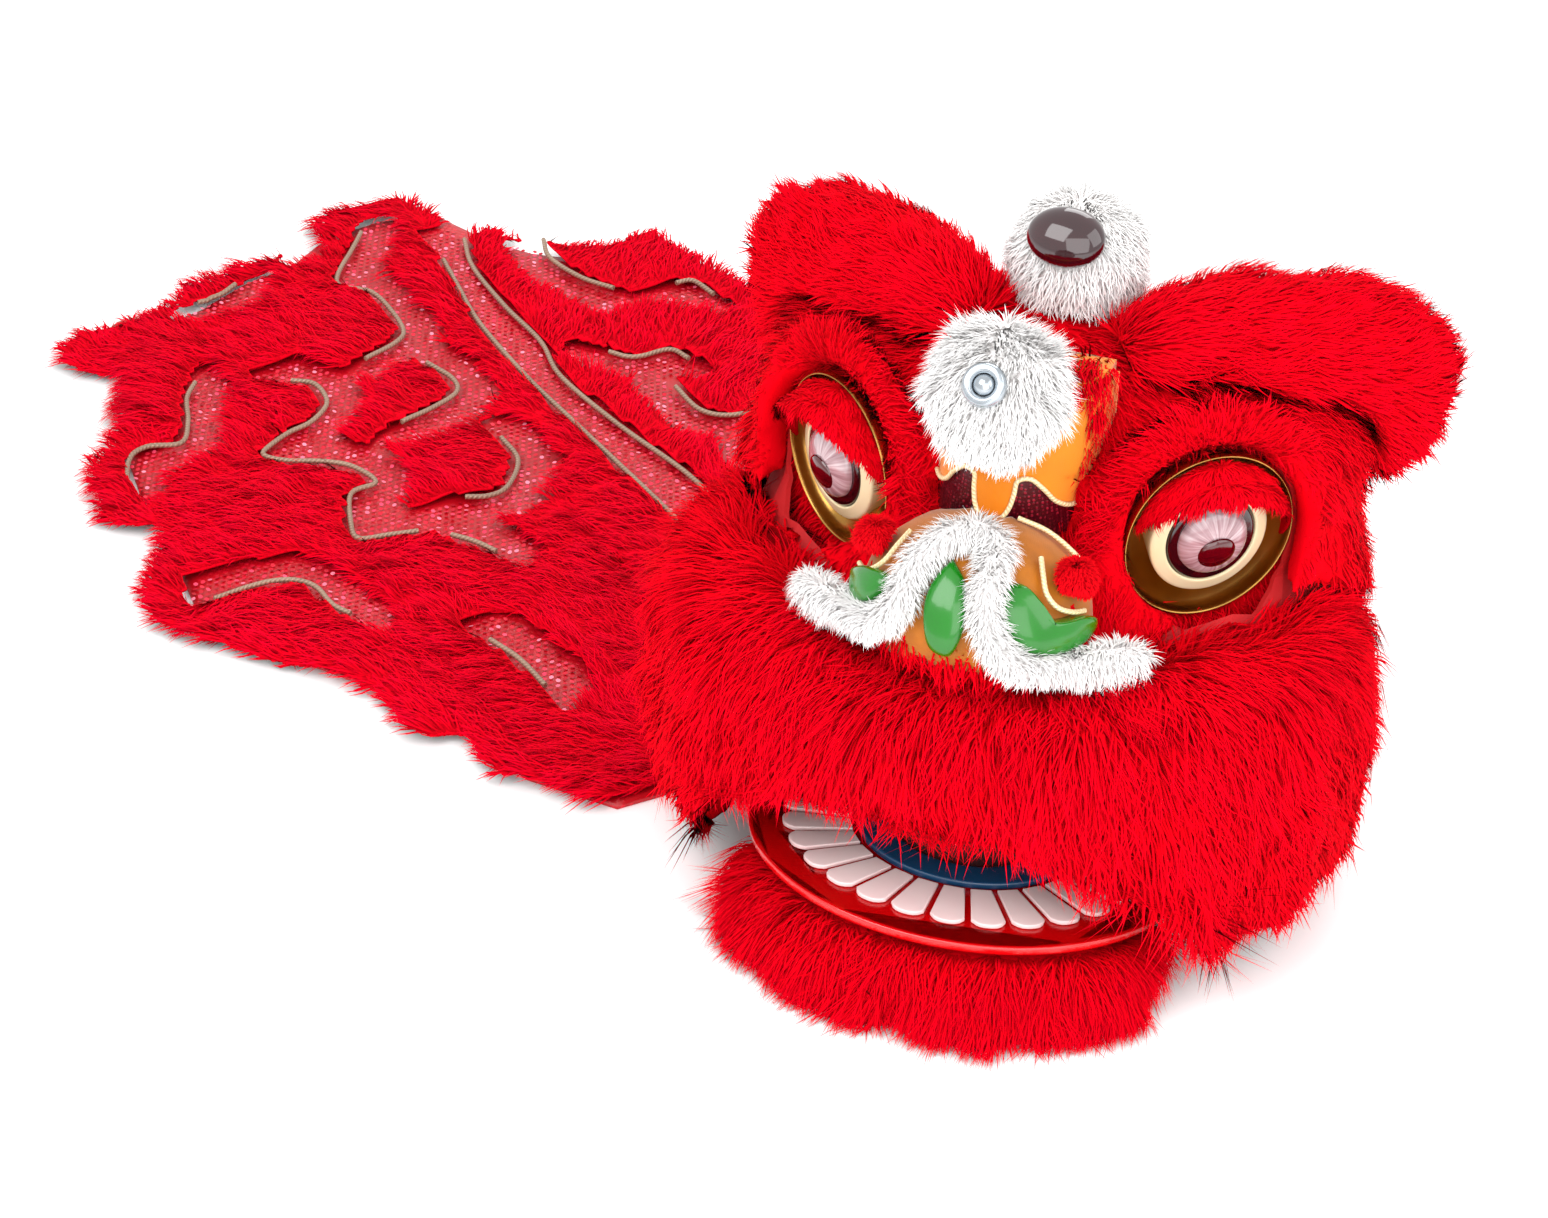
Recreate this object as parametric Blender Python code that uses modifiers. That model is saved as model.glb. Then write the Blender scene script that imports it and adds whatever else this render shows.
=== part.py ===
"""Lion dance head with its sewn-on body cloth, at the size made for a child.

The head faces -Y and stands on the floor on its open lower rim. It is a thin moulded shell under deep
fur, hollow so that a head goes in from below, with a jaw board on a hinge and an eyelid over each eye
dish. The body cloth is swept to the head's right (-X) and back, and lies flat with a few folds.
All lengths are in metres, +Z up.
"""

import math

import bmesh
import bpy
from mathutils import Matrix, Vector

# Driving sizes of the head
SHELL_WIDTH = 0.376
SHELL_DEPTH = 0.350
SHELL_HEIGHT = 0.322
SHELL_WALL = 0.003
SHELL_SQUARENESS = 2.3
SHELL_COLUMNS = 22
FACET_SHARE = 0.85
SEAT_GAP = 0.0004
PIVOT_GAP = 0.0005
FUR_FLOOR_GAP = 0.006

# Fur on the shell
HEAD_FUR_PILE = 0.022
MUZZLE_WIDTH = 0.476
MUZZLE_REACH = 0.222
MUZZLE_AXIS_Y = 0.060
MUZZLE_TOP = 0.236
MUZZLE_COLUMNS = 23
LOCK_RELIEF = 0.016

# Eyes
EYE_SPACING = 0.230
EYE_FORWARD_Y = 0.035
EYE_HEIGHT = 0.253
EYE_YAW = math.radians(39)
EYE_POCKET_PITCH = math.radians(34)
EYE_POCKET_LENGTH = 0.120
DISH_RADIUS = 0.055
DISH_SIDES = 16
DISH_WALL = 0.002
DISH_DEPTH = 0.022
DISH_FLOOR_RADIUS = 0.036
COLLAR_RADIUS = 0.038
COLLAR_STAND = 0.005
IRIS_RING_RADIUS = 0.0285
IRIS_RING_STAND = 0.003
EYEBALL_RADIUS = 0.0225
EYEBALL_RISE = 0.0087
PUPIL_RADIUS = 0.0135
PUPIL_DROP = 0.007
LID_RADIUS = 0.0495
LID_WALL = 0.0025
LID_SPAN = math.radians(45)
LID_TILT = math.radians(12)
LID_PIN_RADIUS = 0.0025

# Mouth and jaw
MOUTH_HALF_WIDTH = 0.143
MOUTH_HEIGHT = 0.104
MOUTH_BACK_Y = 0.015
JAW_HALF_WIDTH = 0.138
JAW_HALF_DEPTH = 0.105
JAW_CENTRE_Y = -0.040
JAW_HEIGHT = 0.048
JAW_THICKNESS = 0.006
JAW_BACK_Y = 0.005
JAW_EDGE_ROUND = 0.002
HINGE_Y = 0.045
JAW_ARM_INSET = 0.020
JAW_ARM_WIDTH = 0.008
JAW_ARM_LAP = 0.030
JAW_ARM_PAST_PIN = 0.006
HINGE_PIN_RADIUS = 0.004
HINGE_PIN_REACH = 0.022
HINGE_BOSS_STAND = 0.002
HINGE_BOSS_RADIUS = 0.009
TOOTH_COUNT = 14
TOOTH_PITCH = math.radians(13)
TOOTH_SLIT = math.radians(1.1)
TOOTH_HEIGHT = 0.003
GUM_HEIGHT = 0.005
MOUTH_FLOOR_HEIGHT = 0.002
BEARD_REACH = 0.030

# Nose, bridge and forehead
NOSE_WIDTH = 0.144
NOSE_DEPTH = 0.124
NOSE_HEIGHT = 0.104
NOSE_CENTRE = Vector((0, -0.055, 0.235))
NOSE_TRIM_RADIUS = 0.0125
NOSE_POMPOM_RADIUS = 0.016
BRIDGE_WIDTH = 0.100
BRIDGE_BOTTOM = 0.264
BRIDGE_TOP = 0.356
BRIDGE_CENTRE_Y = 0.040
BRIDGE_FRONT_LOW_Y = -0.040
BRIDGE_FRONT_HIGH_Y = -0.014
APPLIQUE_THICKNESS = 0.002
APPLIQUE_TOP = 0.345
MIRROR_POMPOM_RADIUS = 0.047
MIRROR_POMPOM_DEPTH = 0.034
MIRROR_CENTRE = Vector((0, -0.040, 0.368))
MIRROR_PITCH = math.radians(35)
MIRROR_BUTTON_RADIUS = 0.013

# Horn, crest and ears
HORN_RADIUS = 0.048
HORN_CENTRE = Vector((0, 0.134, 0.366))
HORN_PITCH = math.radians(41)
HORN_BUTTON_HALF_WIDTH = 0.024
HORN_BUTTON_HALF_HEIGHT = 0.0185
CREST_RADIUS = 0.026
EAR_LENGTH = 0.236
EAR_HEIGHT = 0.148
EAR_THICKNESS = 0.086
EAR_ROOT = Vector((0.035, 0.070, 0.336))
EAR_SWEEP = math.radians(37.5)
EAR_DROOP = math.radians(15)

# Body cloth
CLOTH_LENGTH = 0.680
CLOTH_LEFT = 0.378
CLOTH_RIGHT = 0.190
CLOTH_START = -0.100
CLOTH_SWEEP = math.radians(47)
CLOTH_ORIGIN = Vector((-0.162, 0.195, 0))
CLOTH_WALL = 0.0025
CLOTH_FOLD_HEIGHT = 0.005
CLOTH_FOLD_FADE = 0.130
CLOTH_ROWS = 13
CLOTH_COLUMNS = 14
SCALLOP_PITCH = 0.118
SCALLOP_START = 0.020
BODY_PILE = 0.015
BAND_STEP = 0.038
BAND_LIFT = 0.0011
BAND_START_GAP = 0.006
BAND_OVERHANG = 0.012
OUTER_BAND_START = 0.110
HEAD_KEEP_OUT = 0.282

# Shell outline: height, half width, front and back as shares of the shell's height, half width and depth
SHELL_SECTIONS = (
    (0.000, 0.800, 0.057, 0.614),
    (0.155, 0.915, -0.171, 0.640),
    (0.326, 0.984, -0.309, 0.657),
    (0.466, 1.000, -0.343, 0.657),
    (0.553, 0.979, -0.270, 0.651),
    (0.615, 0.941, -0.071, 0.646),
    (0.680, 0.912, 0.004, 0.632),
    (0.854, 0.883, 0.023, 0.606),
    (0.925, 0.798, 0.050, 0.560),
    (0.975, 0.560, 0.120, 0.480),
)
SHELL_APEX_Y_SHARE = 0.30

# Muzzle roll: turn from the front in degrees, then bottom and top as shares of its top, and its fullness
MUZZLE_SECTIONS = (
    (0, 0.450, 0.925, 0.97),
    (18, 0.440, 0.925, 0.985),
    (30, 0.330, 0.950, 1.00),
    (42, 0.110, 0.980, 1.00),
    (55, 0.030, 1.000, 1.00),
    (75, 0.026, 0.985, 1.00),
    (92, 0.030, 0.930, 0.98),
    (106, 0.100, 0.850, 0.94),
    (116, 0.240, 0.700, 0.88),
)
MUZZLE_INNER_SHARE = 0.45

# Ear: run along it, height, thickness and forward shift as shares of the ear's length, height and thickness
EAR_SECTIONS = (
    (0.00, 0.42, 0.50, 0.05),
    (0.10, 0.72, 0.80, 0.03),
    (0.26, 0.90, 0.95, 0.00),
    (0.45, 1.00, 1.00, 0.00),
    (0.64, 1.02, 1.00, 0.02),
    (0.80, 0.94, 0.92, 0.06),
    (0.92, 0.70, 0.70, 0.10),
    (1.00, 0.34, 0.38, 0.12),
)

# Nose trim's path on the nose, right half, outer end first: shares of the nose's half sizes from its centre
NOSE_TRIM_PATH = (
    (1.50, -0.10, -0.22),
    (1.24, -0.38, -0.26),
    (0.90, -0.72, -0.20),
    (0.56, -1.00, 0.00),
    (0.40, -0.86, 0.46),
    (0.26, -0.52, 0.86),
    (0.00, -0.30, 1.08),
)

# Green pads on the nose: centre and half sizes as shares of the nose's half sizes, turn about Z in degrees
NOSE_PADS = (
    ("nose_pad_centre", (0.00, -0.82, 0.60), (0.30, 0.26, 0.62), 0),
    ("nose_pad_right", (0.82, -0.56, 0.28), (0.52, 0.30, 0.40), 32),
    ("nose_pad_left", (-0.82, -0.56, 0.28), (0.52, 0.30, 0.40), -32),
)

# Cloth edge: place along it, then left and right reach, as shares of its length and of CLOTH_LEFT and RIGHT
CLOTH_SIDES = (
    (-0.15, 0.56, 1.00),
    (-0.06, 0.68, 1.00),
    (0.00, 0.70, 1.00),
    (0.10, 0.77, 0.98),
    (0.22, 0.91, 0.95),
    (0.33, 1.00, 0.93),
    (0.47, 0.94, 0.92),
    (0.60, 0.95, 0.90),
    (0.70, 0.85, 0.88),
    (0.80, 0.80, 0.82),
    (1.00, 0.86, 0.70),
)

# Cloth tail: place across as a share of the side's reach, then how far along the cloth ends there
CLOTH_TAIL = (
    (-1.00, 0.86),
    (-0.78, 0.88),
    (-0.55, 0.92),
    (-0.40, 0.94),
    (-0.28, 0.99),
    (-0.04, 1.00),
    (0.10, 0.90),
    (0.35, 0.84),
    (1.00, 0.72),
)

# Cloth folds: place across as a share of CLOTH_LEFT, height as a share of the fold height, half width
CLOTH_FOLDS = (
    (-0.80, 0.85, 0.070),
    (-0.44, 1.00, 0.080),
    (-0.05, 0.60, 0.070),
    (0.30, 0.90, 0.070),
)

# Fur bands on the cloth: inner and outer edge across and how far the hook of each scallop cuts in, as
# shares of CLOTH_LEFT; the edges are measured from the spine line, left negative
FUR_BANDS = (
    ("spine_fur_left", -0.118, -0.205, 0.02),
    ("spine_fur_right", -0.030, 0.075, 0.02),
    ("fur_row_left_1", -0.262, -0.475, 0.15),
    ("fur_row_left_2", -0.530, -0.735, 0.15),
    ("fur_row_left_3", -0.790, -1.030, 0.06),
    ("fur_row_right_1", 0.130, 0.330, 0.10),
    ("fur_row_right_2", 0.385, 0.500, 0.05),
)


def material(name, colour, roughness, metallic=0.0):
    made = bpy.data.materials.new(name)
    made.use_nodes = True
    shader = made.node_tree.nodes["Principled BSDF"]
    shader.inputs["Base Color"].default_value = (*colour, 1)
    shader.inputs["Roughness"].default_value = roughness
    shader.inputs["Metallic"].default_value = metallic
    made.diffuse_color = (*colour, 1)
    return made


def clear_scene():
    for thing in list(bpy.data.objects):
        bpy.data.objects.remove(thing, do_unlink=True)


def collection(name):
    made = bpy.data.collections.new(name)
    bpy.context.scene.collection.children.link(made)
    return made


clear_scene()
PARTS = collection("lion_dance_head")
CUTTERS = collection("cutters")
RED_FUR = material("red_fur", (0.75, 0.01, 0.02), 0.9)
WHITE_FUR = material("white_fur", (0.92, 0.9, 0.87), 0.9)
SHELL_BOARD = material("shell_board", (0.5, 0.02, 0.02), 0.7)
JAW_BOARD = material("jaw_board", (0.75, 0.01, 0.01), 0.25)
TOOTH_WHITE = material("tooth_white", (0.85, 0.75, 0.74), 0.4)
GUM_BLUE = material("gum_blue", (0.02, 0.08, 0.18), 0.3)
MOUTH_RED = material("mouth_red", (0.2, 0.005, 0.01), 0.6)
DISH_GOLD = material("dish_gold", (0.45, 0.3, 0.1), 0.2, 1.0)
COLLAR_CREAM = material("collar_cream", (0.9, 0.85, 0.6), 0.4)
EYE_BLACK = material("eye_black", (0.02, 0.003, 0.006), 0.15)
EYE_GREY = material("eye_grey", (0.5, 0.33, 0.36), 0.2)
PUPIL_MAROON = material("pupil_maroon", (0.12, 0.002, 0.005), 0.1)
LID_RED = material("lid_red", (0.7, 0.01, 0.02), 0.6)
PATENT_GREEN = material("patent_green", (0.02, 0.4, 0.02), 0.2)
SEQUIN_MAROON = material("sequin_maroon", (0.2, 0.002, 0.01), 0.4)
APPLIQUE_ORANGE = material("applique_orange", (0.9, 0.35, 0.01), 0.5)
CLEAR_SILVER = material("clear_silver", (0.75, 0.77, 0.8), 0.15, 0.6)
HORN_GLOSS = material("horn_gloss", (0.04, 0.005, 0.01), 0.08)
CLOTH_CRIMSON = material("cloth_crimson", (0.5, 0.005, 0.03), 0.5)
WORLD = bpy.data.objects.new("frame", None)
PARTS.objects.link(WORLD)


def empty(name, place):
    made = bpy.data.objects.new(name, None)
    made.matrix_basis = Matrix.Translation(place)
    made.parent = WORLD
    PARTS.objects.link(made)
    return made


def as_object(name, mesh, finish, parent=None, matrix=None, cutter=False):
    """An object of a mesh; matrix places it in its parent's frame, or in the head's where it has none."""
    made = bpy.data.objects.new(name, mesh)
    made.parent = parent or WORLD
    made.matrix_basis = matrix or Matrix()
    (CUTTERS if cutter else PARTS).objects.link(made)
    if cutter:
        made.hide_render = True
        made.display_type = "WIRE"
    else:
        mesh.materials.append(finish)
        mesh.shade_smooth()
        mesh.set_sharp_from_angle(angle=math.radians(50))
    return made


def mesh_of(name, shape):
    """The shape as a mesh of flat triangles, which a Boolean cuts cleanly, with its faces outwards."""
    bmesh.ops.recalc_face_normals(shape, faces=shape.faces)
    bmesh.ops.triangulate(shape, faces=shape.faces)
    mesh = bpy.data.meshes.new(name)
    shape.to_mesh(mesh)
    shape.free()
    return mesh


def loft(name, rings, capped=(True, True), tips=(None, None)):
    """A skin through rings of as many points each; an end is capped flat, drawn to a tip, or left open."""
    shape = bmesh.new()
    rows = [[shape.verts.new(point) for point in ring] for ring in rings]
    count = len(rows[0])
    for low, high in zip(rows, rows[1:]):
        for i in range(count):
            j = (i + 1) % count
            shape.faces.new((low[i], low[j], high[j], high[i]))
    for row, is_capped, tip in ((rows[0], capped[0], tips[0]), (rows[-1], capped[1], tips[1])):
        if tip is not None:
            point = shape.verts.new(tip)
            for i in range(count):
                shape.faces.new((row[i], row[(i + 1) % count], point))
        elif is_capped:
            shape.faces.new(row)
    return mesh_of(name, shape)


def turned(name, profile, finish, parent, sides=20, matrix=None):
    """A shape turned about its Z axis from (radius, height) points that run down its outer side."""
    mesh = bpy.data.meshes.new(name)
    points = [(radius, 0, height) for radius, height in profile]
    closed = profile[0][0] > 0
    edges = [(i, i + 1) for i in range(len(points) - 1)]
    if closed:
        edges.append((len(points) - 1, 0))
    mesh.from_pydata(points, edges, [])
    made = as_object(name, mesh, finish, parent, matrix)
    screw = made.modifiers.new("turned", "SCREW")
    screw.steps = sides
    screw.render_steps = sides
    screw.use_merge_vertices = True
    screw.merge_threshold = 0.00001
    return made


def ball_mesh(name, radii, segments, rings, relief=0.0):
    """An ellipsoid whose meridians stand in and out by turns, like locks of fur."""
    shape = bmesh.new()
    bmesh.ops.create_uvsphere(shape, u_segments=segments, v_segments=rings, radius=1)
    for vert in shape.verts:
        turn = math.atan2(vert.co.y, vert.co.x) / (2 * math.pi) * segments
        lock = relief if round(turn) % 2 else -relief
        vert.co = vert.co * (1 + lock)
        vert.co = Vector(c * r for c, r in zip(vert.co, radii))
    return mesh_of(name, shape)


def cylinder_mesh(name, radius, start, end, sides=16):
    """A round bar along Z between two heights."""
    shape = bmesh.new()
    bmesh.ops.create_cone(
        shape, cap_ends=True, segments=sides, radius1=radius, radius2=radius, depth=end - start,
        matrix=Matrix.Translation((0, 0, (start + end) / 2)),
    )
    return mesh_of(name, shape)


def box_mesh(name, low, high):
    shape = bmesh.new()
    size = Vector(high) - Vector(low)
    place = Matrix.Translation((Vector(high) + Vector(low)) / 2) @ Matrix.Diagonal((*size, 1))
    bmesh.ops.create_cube(shape, size=1, matrix=place)
    return mesh_of(name, shape)


def grown(source, clearance=SEAT_GAP):
    """A cutter of an object's uncut form, larger all round by the clearance."""
    name = source.name + "_room"
    made = as_object(name, source.data.copy(), None, source.parent, source.matrix_basis.copy(), cutter=True)
    swell = made.modifiers.new("swell", "DISPLACE")
    swell.strength = clearance
    swell.mid_level = 0
    return made


def combine(target, others, operation="DIFFERENCE", solver="EXACT"):
    for other in others:
        step = target.modifiers.new(other.name, "BOOLEAN")
        step.operation = operation
        step.solver = solver
        step.object = other
    return target


def signed_power(value, power):
    return math.copysign(abs(value) ** power, value)


def table_value(table, key, column):
    """Straight interpolation in a table whose rows are sorted by their first column."""
    if key <= table[0][0]:
        return table[0][column]
    for low, high in zip(table, table[1:]):
        if key <= high[0]:
            share = (key - low[0]) / (high[0] - low[0])
            return low[column] + share * (high[column] - low[column])
    return table[-1][column]


def shell_point(turn, height_share, out=0.0):
    """A point of the shell's outer face: turn from the front about Z, moved outwards by out."""
    half_width = table_value(SHELL_SECTIONS, height_share, 1) * SHELL_WIDTH / 2
    front = table_value(SHELL_SECTIONS, height_share, 2) * SHELL_DEPTH
    back = table_value(SHELL_SECTIONS, height_share, 3) * SHELL_DEPTH
    power = 2 / SHELL_SQUARENESS
    x = (half_width + out) * signed_power(math.sin(turn), power)
    y = (front + back) / 2 - ((back - front) / 2 + out) * signed_power(math.cos(turn), power)
    return Vector((x, y, height_share * SHELL_HEIGHT))


def shell_inside(y, z):
    """How far the shell's inner face stands from the middle plane at a place, short of its flat facets."""
    share = z / SHELL_HEIGHT
    half_width = table_value(SHELL_SECTIONS, share, 1) * SHELL_WIDTH / 2
    front = table_value(SHELL_SECTIONS, share, 2) * SHELL_DEPTH
    back = table_value(SHELL_SECTIONS, share, 3) * SHELL_DEPTH
    run = abs(y - (front + back) / 2) / ((back - front) / 2)
    facet = half_width * (1 - math.cos(math.pi / SHELL_COLUMNS)) * FACET_SHARE
    return half_width * (1 - run ** SHELL_SQUARENESS) ** (1 / SHELL_SQUARENESS) - SHELL_WALL - facet


def around(count):
    return [2 * math.pi * i / count for i in range(count)]


def shell_apex(rise=0.0):
    return Vector((0, SHELL_APEX_Y_SHARE * SHELL_DEPTH, SHELL_HEIGHT + rise))


def shell_rings():
    return [[shell_point(turn, row[0]) for turn in around(SHELL_COLUMNS)] for row in SHELL_SECTIONS]


def shell_room():
    """The space that the shell fills, with the hollow in it, as a cutter for what is seated on it."""
    rings = shell_rings()
    below = [Vector((point.x, point.y, -SHELL_WIDTH / 10)) for point in rings[0]]
    mesh = loft("shell_room", [below] + rings, tips=(None, shell_apex()))
    made = as_object("shell_room", mesh, None, cutter=True)
    swell = made.modifiers.new("swell", "DISPLACE")
    swell.strength = SEAT_GAP
    swell.mid_level = 0
    return made


def mouth_room():
    """An arch from front to back through which the jaw passes, also where it closes."""
    half = [
        (1.0, -0.2),
        (1.0, 0.68),
        (0.88, 0.88),
        (0.62, 0.97),
        (0.0, 1.0),
    ]
    arch = half + [(-x, z) for x, z in reversed(half[:-1])]
    rings = [
        [Vector((x * MOUTH_HALF_WIDTH, y, z * MOUTH_HEIGHT)) for x, z in arch]
        for y in (-SHELL_DEPTH, MOUTH_BACK_Y)
    ]
    return as_object("mouth_room", loft("mouth_room", rings), None, cutter=True)


def eye_frame(side):
    """Where an eye looks: Z out of the dish, Y up."""
    out = Vector((side * math.sin(EYE_YAW), -math.cos(EYE_YAW), 0))
    up = Vector((0, 0, 1))
    across = up.cross(out)
    turn = Matrix((across, up, out)).transposed()
    return Matrix.Translation((side * EYE_SPACING / 2, EYE_FORWARD_Y, EYE_HEIGHT)) @ turn.to_4x4()


def eye_rooms(side, label):
    """The hole that the dish sits in, and the pocket in the fur that keeps it in view from above."""
    frame = eye_frame(side)
    reach = DISH_RADIUS + 0.0005
    hole = cylinder_mesh("hole", reach, -DISH_DEPTH - 0.012, HEAD_FUR_PILE, 24)
    pocket = cylinder_mesh("pocket", reach, 0, EYE_POCKET_LENGTH, 24)
    tip_up = Matrix.Rotation(-EYE_POCKET_PITCH, 4, "X")
    return [
        as_object("eye_hole_" + label, hole, None, matrix=frame, cutter=True),
        as_object("eye_pocket_" + label, pocket, None, matrix=frame @ tip_up, cutter=True),
    ]


def head_shell():
    mesh = loft("head_shell", shell_rings(), capped=(False, False), tips=(None, shell_apex()))
    made = as_object("head_shell", mesh, SHELL_BOARD)
    wall = made.modifiers.new("wall", "SOLIDIFY")
    wall.thickness = SHELL_WALL
    wall.offset = -1
    wall.use_even_offset = True
    return made


def muzzle_fur():
    """The fur roll round the muzzle, a horseshoe open to the back, in upright locks."""
    widest = MUZZLE_SECTIONS[-1][0]
    rings = []
    for i in range(MUZZLE_COLUMNS):
        turn = widest * (2 * i / (MUZZLE_COLUMNS - 1) - 1)
        bottom, top, full = (table_value(MUZZLE_SECTIONS, abs(turn), k) for k in (1, 2, 3))
        bottom = max(bottom * MUZZLE_TOP, FUR_FLOOR_GAP)
        top = top * MUZZLE_TOP
        full += LOCK_RELIEF * (1 if i % 2 else -1)
        angle = math.radians(turn)
        reach = Vector((
            MUZZLE_WIDTH / 2 * signed_power(math.sin(angle), 0.85),
            -MUZZLE_REACH * signed_power(math.cos(angle), 0.85),
            0,
        ))
        ring = []
        for step in around(11):
            out = (full + MUZZLE_INNER_SHARE) / 2
            out += (full - MUZZLE_INNER_SHARE) / 2 * signed_power(math.cos(step), 0.75)
            height = (top + bottom) / 2 + (top - bottom) / 2 * signed_power(math.sin(step), 0.75)
            ring.append(Vector((0, MUZZLE_AXIS_Y, height)) + reach * out)
        rings.append(ring)
    return as_object("muzzle_fur", loft("muzzle_fur", rings), RED_FUR)


def head_fur():
    """Fur over the face, crown, sides and back, standing on the shell; the muzzle has its own."""
    rings = []
    rows = (0.018, 0.21, 0.42, 0.60, 0.72, 0.85, 0.925, 0.975)
    for row, share in enumerate(rows):
        ring = []
        for i, turn in enumerate(around(SHELL_COLUMNS)):
            lock = 1 + 0.16 * (1 if (i + row) % 2 else -1)
            bare = share < 0.59 and math.cos(turn) > -0.25
            out = -0.004 if bare else HEAD_FUR_PILE * lock
            ring.append(shell_point(turn, share, out))
        rings.append(ring)
    top = shell_apex(HEAD_FUR_PILE)
    crown = [point.lerp(top, 0.5) + Vector((0, 0, HEAD_FUR_PILE / 3)) for point in rings[-1]]
    mesh = loft("head_fur", rings + [crown], tips=(None, top))
    return as_object("head_fur", mesh, RED_FUR)


def eye_parts(side, label):
    frame = eye_frame(side)
    floor = -DISH_DEPTH
    base = floor + SEAT_GAP
    rim = DISH_RADIUS - DISH_WALL
    dish = [
        (0, floor),
        (DISH_FLOOR_RADIUS, floor),
        (rim - 0.006, floor / 2),
        (rim, -2 * LID_PIN_RADIUS),
        (rim, DISH_WALL),
        (DISH_RADIUS, DISH_WALL),
        (DISH_RADIUS, -2 * LID_PIN_RADIUS),
        (rim - 0.005, floor / 2 - DISH_WALL),
        (DISH_FLOOR_RADIUS, floor - DISH_WALL),
        (0, floor - DISH_WALL),
    ]
    turned("eye_dish_" + label, dish, DISH_GOLD, None, DISH_SIDES, frame)
    well = IRIS_RING_RADIUS + PIVOT_GAP
    collar = [
        (well, COLLAR_STAND),
        (COLLAR_RADIUS, COLLAR_STAND),
        (COLLAR_RADIUS - 0.005, base),
        (well, base),
    ]
    turned("eye_collar_" + label, collar, COLLAR_CREAM, None, DISH_SIDES, frame)
    ring = [
        (0, IRIS_RING_STAND),
        (IRIS_RING_RADIUS - 0.001, IRIS_RING_STAND),
        (IRIS_RING_RADIUS, IRIS_RING_STAND - 0.001),
        (IRIS_RING_RADIUS, base),
        (0, base),
    ]
    turned("eye_ring_" + label, ring, EYE_BLACK, None, DISH_SIDES, frame)
    seat = IRIS_RING_STAND + SEAT_GAP
    dome = [(0, seat + EYEBALL_RISE)]
    for step in range(1, 4):
        angle = step * math.pi / 6
        dome.append((EYEBALL_RADIUS * math.sin(angle), seat + EYEBALL_RISE * math.cos(angle)))
    dome.append((0, seat))
    eyeball = turned("eye_ball_" + label, dome, EYE_GREY, None, DISH_SIDES, frame)
    pupil_mesh = ball_mesh("eye_pupil_" + label, (PUPIL_RADIUS, PUPIL_RADIUS, 0.0055), 12, 6)
    drop = Matrix.Translation((0, -PUPIL_DROP, seat + EYEBALL_RISE - 0.0012))
    pupil = as_object("eye_pupil_" + label, pupil_mesh, PUPIL_MAROON, matrix=frame @ drop)
    room = grown_turned(eyeball)
    combine(pupil, [room])
    eye_lid(side, label, frame)


def grown_turned(source):
    """A cutter of a turned object: its profile and Screw copied, then larger by the seat gap."""
    name = source.name + "_room"
    made = as_object(name, source.data.copy(), None, source.parent, source.matrix_basis.copy(), cutter=True)
    screw = made.modifiers.new("turned", "SCREW")
    screw.steps = source.modifiers["turned"].steps
    screw.render_steps = screw.steps
    screw.use_merge_vertices = True
    screw.merge_threshold = 0.00001
    swell = made.modifiers.new("swell", "DISPLACE")
    swell.strength = SEAT_GAP
    swell.mid_level = 0
    return made


def eye_lid(side, label, frame):
    """A domed eyelid, a slice of a ball about its hinge line across the dish, on two stub pins."""
    hinge = empty("eye_lid_hinge_" + label, Vector())
    hinge.matrix_basis = frame @ Matrix.Rotation(-side * LID_TILT, 4, "Z")
    steps = 3
    spread = 7
    reach = math.radians(88)
    rings = []
    for step in range(steps + 1):
        lean = LID_SPAN * step / steps
        ring = []
        for radius, way in ((LID_RADIUS, 1), (LID_RADIUS - LID_WALL, -1)):
            for i in range(spread + 1):
                angle = way * (2 * i / spread - 1) * reach
                out = radius * math.cos(angle)
                ring.append(Vector((radius * math.sin(angle), out * math.cos(lean), out * math.sin(lean))))
        rings.append(ring)
    name = "eye_lid_" + label
    lid = as_object(name, loft(name, rings), LID_RED, hinge)
    pins = []
    end = (DISH_RADIUS - DISH_WALL) * math.cos(math.pi / DISH_SIDES) - PIVOT_GAP
    for way in (-1, 1):
        pin = cylinder_mesh("pin", LID_PIN_RADIUS, LID_RADIUS - 0.004, end, 10)
        turn = Matrix.Rotation(way * math.pi / 2, 4, "Y")
        pin_name = f"eye_lid_pin_{label}_{way}"
        pins.append(as_object(pin_name, pin, None, hinge, turn, cutter=True))
    combine(lid, pins, "UNION")


def jaw_point(turn, share, height):
    return Vector((
        JAW_HALF_WIDTH * share * math.sin(turn),
        JAW_CENTRE_Y - HINGE_Y - JAW_HALF_DEPTH * share * math.cos(turn),
        height,
    ))


def jaw_slab(name, outline, low, high, finish, parent):
    rings = [[Vector((p.x, p.y, z)) for p in outline] for z in (low, high)]
    return as_object(name, loft(name, rings), finish, parent)


def arc(share, widest, count):
    return [jaw_point(widest * (2 * i / count - 1), share, 0) for i in range(count + 1)]


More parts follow.
